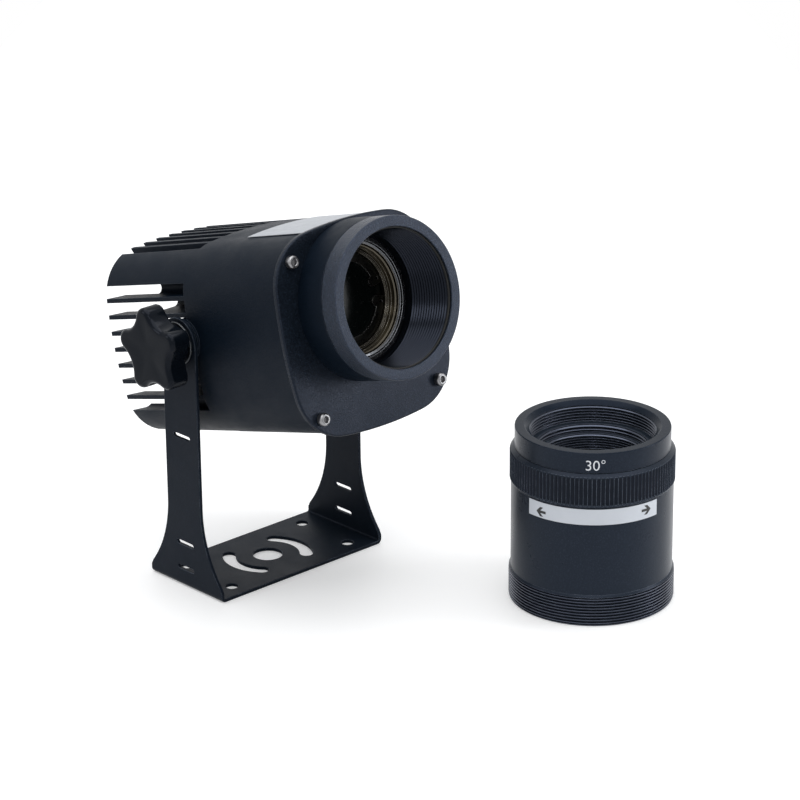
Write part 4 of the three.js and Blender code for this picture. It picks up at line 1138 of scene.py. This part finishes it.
def on_rim(middle, normal):
    """The lens's top face and its rounded edge."""
    return normal.z > 0.4 and middle.z > LENS_HEIGHT - 2.5


grip = finish_mesh("lens_grip", grip_mesh(), LENS, "lens", lens_coat, 40, "lens_grip_ring")
# Painted shade: the floors of the flutes get the dark coat.
second_finish(grip, black_and_shade_coat, in_flute)

front_low = NECK_TOP + SEAT
front = about(FRONT_RADIUS, front_low, (-0.25, 0), (0, 0.25))
front += round_over(FRONT_RADIUS, LENS_HEIGHT, FRONT_EDGE)
front += about(0, LENS_HEIGHT, (37.5, 0), (37.0, -0.2), (35.3, -1.6), (34.6, -2.4))
front += bore_thread(FRONT_CREST, front_low + 0.3, LENS_HEIGHT - 2.9, MOUTH_PITCH) + [(34.3, front_low)]
front_ring = turned_piece("lens_front", front, LENS, "lens", lens_coat, 20, "lens_front_ring")
thread_gloss_and_shade(
    front_ring, FRONT_CREST, THREAD_DEPTH, front_low, LENS_HEIGHT - 2.6, thread_coat, outside=False
)
# Painted shade: the up-facing top face and its rounded edge get the darker coat.
second_finish(front_ring, lens_top_shade_coat, on_rim)

# The rings down the mouth: thread crest, low, high, lip, lip's inner edge, foot and the thread's start.
for name, node, crest, low, high, lip, lip_edge, foot, start in (
    ("lens_ring_upper", "lens_upper_ring", 30.1, UPPER_LOW, NECK_TOP, 31.6, 30.9, 30.3, 0.2),
    ("lens_ring_lower", "lens_lower_ring", 28.1, LOWER_LOW, LOWER_HIGH, 29.4, 28.9, 28.2, 0.3),
):
    profile = [(INNER, low), (INNER, high), (lip, high), (lip_edge, high - 0.3)]
    profile += bore_thread(crest, low + start, high - 0.7, MOUTH_PITCH) + [(foot, low)]
    ring = turned_piece(name, profile, LENS, "lens", lens_coat, 20, node)
    thread_gloss_and_shade(ring, crest, THREAD_DEPTH, low, high - 0.5, thread_coat, outside=False)


def element_mesh(low):
    """A glass element: flat behind, ground edge, domed in front."""
    profile = [(0, low), (INNER - 0.3, low), (INNER, low + 0.3), (INNER, low + GLASS_EDGE - 0.2)]
    shares = [1 - i / 24 for i in range(24)]
    profile += [(INNER * share, low + GLASS_EDGE + GLASS_SAG * (1 - share ** 2)) for share in shares]
    return lathe_mesh(profile + [(0, low + GLASS_EDGE + GLASS_SAG)])


dome_seat = GLASS_SAG * (1 - (GLASS_OPENING / INNER) ** 2) + SEAT
for name, node, low in (
    ("lens_glass_front", "lens_element_front", LOWER_LOW - dome_seat - GLASS_EDGE),
    ("lens_glass_rear", "lens_element_rear", TUBE_FLOOR + SEAT),
):
    finish_mesh(name, element_mesh(low), LENS, "lens", lens_glass, 40, node)

# ---- the lens's film and print

BAND_HEADING, BAND_REACH = radians(-135.5), radians(49.7)
BAND_LOW, BAND_HIGH = SHOULDER - 9.5, SHOULDER - 0.5
FILM = LENS_RADIUS + SEAT
FILM_TOP = FILM + FILM_THICKNESS
PRINT = 0.05
ARROW_HALF = (  # one half of an arrow that points along X
    (3.3, 0), (0.8, 2.7), (-1.3, 2.7), (0.6, 0.75), (-3.0, 0.75),
)
ARROWS = (("left", -1, radians(-173.7), 3.5), ("right", 1, radians(-96.3), 5.0))
NUMBER_HEADING, NUMBER_HEIGHT, NUMBER_SIZE, NUMBER_GAP = radians(-134.2), 92.7, 8.3, 0.04

band = [(FILM, BAND_LOW), (FILM_TOP, BAND_LOW), (FILM_TOP, BAND_HIGH), (FILM, BAND_HIGH)]
film = lathe_mesh(band, start=BAND_HEADING - BAND_REACH, sweep=2 * BAND_REACH)
finish_mesh("lens_film", film, LENS, "lens", band_silver, 30, "lens_label")


def wrapped(flat, radius, heading, height):
    """Lays a flat mesh, x across and y up, round the lens at a radius; its z stands outwards."""
    for vertex in flat.vertices:
        x, y, z = vertex.co
        angle = heading + x / radius
        vertex.co = ((radius + z) * cos(angle), (radius + z) * sin(angle), height + y)
    return flat


def subdivided(mesh, step):
    """Cuts a flat mesh along X so that it can follow a round wall."""
    with editing(mesh, weld=None) as work:
        x = min(v.co.x for v in work.verts) + step
        high = max(v.co.x for v in work.verts)
        while x < high:
            cut_across(work, x)
            x += step
    return mesh


def number_mesh():
    """The plain angle number on the lens, as flat print."""
    text = bpy.data.curves.new("number", "FONT")
    text.body = "30°"
    text.size = NUMBER_SIZE
    text.align_x = "CENTER"
    text.align_y = "CENTER"
    text.offset = -0.04
    text.extrude = 0.03
    text.resolution_u = 6
    return baked_curve(text)


for word, direction, heading, rise in ARROWS:
    half = [(direction * x, y) for x, y in ARROW_HALF]
    outline = half + [(x, -y) for x, y in reversed(half[1:])]
    flat = subdivided(plate_mesh([outline], 0, PRINT, PRINT / 10), 0.8)
    arrow = wrapped(flat, FILM_TOP, heading, BAND_LOW + rise)
    finish_mesh("label_arrow_" + word, arrow, LENS, "lens", black_print, 30)

number = wrapped(subdivided(number_mesh(), 1.0), FRONT_RADIUS + NUMBER_GAP, NUMBER_HEADING, NUMBER_HEIGHT)
finish_mesh("angle_number", number, LENS, "lens", white_print, 30)

# ---- nodes that keep their CAD shape

for material, names in (
    (driver_case, ["driver_box"]),
    (gland_plastic, ["gland_body", "gland_nut"]),
    (rubber, ["gland_seal"]),
    (bare_aluminium, ["condenser_cell", "condenser_spacer", "condenser_retainer", "led_spreader"]),
    (lens_glass, ["condenser_lens_rear", "condenser_lens_front"]),
    (lamp_board, ["led_board"]),
    (phosphor, ["led_emitter"]),
    (brass, ["left_pivot_bush", "right_pivot_bush"]),
    (washer_steel, ["left_knob_stud", "right_knob_stud"]),
    (black_and_shade_coat, ["lens_spacer"]),
):
    for name in names:
        for material_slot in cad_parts[name].material_slots:
            material_slot.material = material

# ---- stage, in metres

VIEW_AZIMUTH, VIEW_PITCH, VIEW_ROLL = radians(-42.97165), radians(21.18487), radians(-0.52395)
VIEW_PLACE = (-1.172063, -1.272566, 0.775772)
FOCAL_PIXELS, PICTURE_PIXELS, SENSOR = 3371.424, 800, 36.0
FLOOR_LONG, FLOOR_SHORT, FLOOR_HEADING = 2.1, 0.40, radians(90 - 42.97)
FLOOR_STEPS, FLOOR_GREY, FLOOR_GLOW = 96, 0.86, 0.25
SURROUND, SURROUND_STRENGTH = (0.93, 0.96, 1.0, 1), 0.25
COOL_LIGHT = (0.96, 0.98, 1.0)

scene = bpy.context.scene


def seen_rays(tree):
    """1 for the rays that show the background: seen directly, in a gloss or through glass."""
    path = tree.nodes.new("ShaderNodeLightPath")
    value = path.outputs["Is Camera Ray"]
    for name in ("Is Glossy Ray", "Is Transmission Ray"):
        either = tree.nodes.new("ShaderNodeMath")
        either.operation = "MAXIMUM"
        tree.links.new(value, either.inputs[0])
        tree.links.new(path.outputs[name], either.inputs[1])
        value = either.outputs[0]
    return value


def floor_material():
    """A pale matt floor that reads as white where it is seen, and keeps the object's shadow."""
    shader = Shader("pale_floor")
    shader.set(Base_Color=(FLOOR_GREY, FLOOR_GREY, FLOOR_GREY, 1), Roughness=0.55)
    glow = shader.add("Emission", Strength=shader.times(seen_rays(shader.tree), FLOOR_GLOW))
    total = shader.add("AddShader")
    shader.join(shader.principled.outputs[0], total.inputs[0])
    shader.join(glow.outputs[0], total.inputs[1])
    shader.join(total.outputs[0], shader.output.inputs["Surface"])
    return shader.material


def add_floor():
    """A pale oval floor that reaches past the picture along the view."""
    oval = [(FLOOR_LONG * x, FLOOR_SHORT * y, 0) for x, y in circle(0, 0, 1, FLOOR_STEPS)]
    mesh = mesh_of(oval, [tuple(range(FLOOR_STEPS))])
    mesh.transform(Matrix.Rotation(FLOOR_HEADING, 4, "Z"))
    floor = new_object("floor", mesh)
    mesh.materials.append(floor_material())


def add_camera():
    data = bpy.data.cameras.new("camera")
    data.sensor_width = SENSOR
    data.lens = FOCAL_PIXELS / PICTURE_PIXELS * SENSOR
    data.clip_start = 0.05
    data.clip_end = 40
    scene.camera = new_object("camera", data)
    turn = Matrix.Rotation(VIEW_AZIMUTH, 4, "Z") @ Matrix.Rotation(pi / 2 - VIEW_PITCH, 4, "X")
    scene.camera.matrix_world = Matrix.Translation(VIEW_PLACE) @ turn @ Matrix.Rotation(VIEW_ROLL, 4, "Z")


def add_world():
    """White for the rays that show the background, and a weak cool light for the rest."""
    world = bpy.data.worlds.new("studio")
    scene.world = world
    world.use_nodes = True
    tree = world.node_tree
    tree.nodes.clear()
    output = tree.nodes.new("ShaderNodeOutputWorld")
    blend = tree.nodes.new("ShaderNodeMixShader")
    tree.links.new(seen_rays(tree), blend.inputs[0])
    for number, (colour, strength) in enumerate(((SURROUND, SURROUND_STRENGTH), ((1, 1, 1, 1), 1.0)), 1):
        background = tree.nodes.new("ShaderNodeBackground")
        background.inputs["Color"].default_value = colour
        background.inputs["Strength"].default_value = strength
        tree.links.new(background.outputs[0], blend.inputs[number])
    tree.links.new(blend.outputs[0], output.inputs["Surface"])


def add_light(name, kind, **values):
    data = bpy.data.lights.new(name, kind)
    for key, value in values.items():
        setattr(data, key, value)
    return new_object(name, data)


def add_area(name, position, target, size, size_y, energy, colour=COOL_LIGHT):
    lamp = add_light(name, "AREA", energy=energy, color=colour, shape="RECTANGLE", size=size, size_y=size_y)
    lamp.location = position
    lamp.rotation_euler = (Vector(target) - Vector(position)).to_track_quat("-Z", "Y").to_euler()


add_camera()
add_floor()
add_world()
add_light("overhead", "SUN", energy=2.7, angle=radians(75))
add_area("front_right", (0.60, -0.64, 0.30), (0, 0, 0.18), 0.3, 0.5, 2.6)
add_area("left_back", (-0.95, 0.62, 0.62), (0, 0, 0.15), 0.35, 0.6, 1.5)
add_area("front_left", (-0.9, -0.9, 1.1), (0, 0, 0.1), 0.4, 0.4, 2.0, (1, 1, 1))

scene.view_settings.view_transform = "Standard"
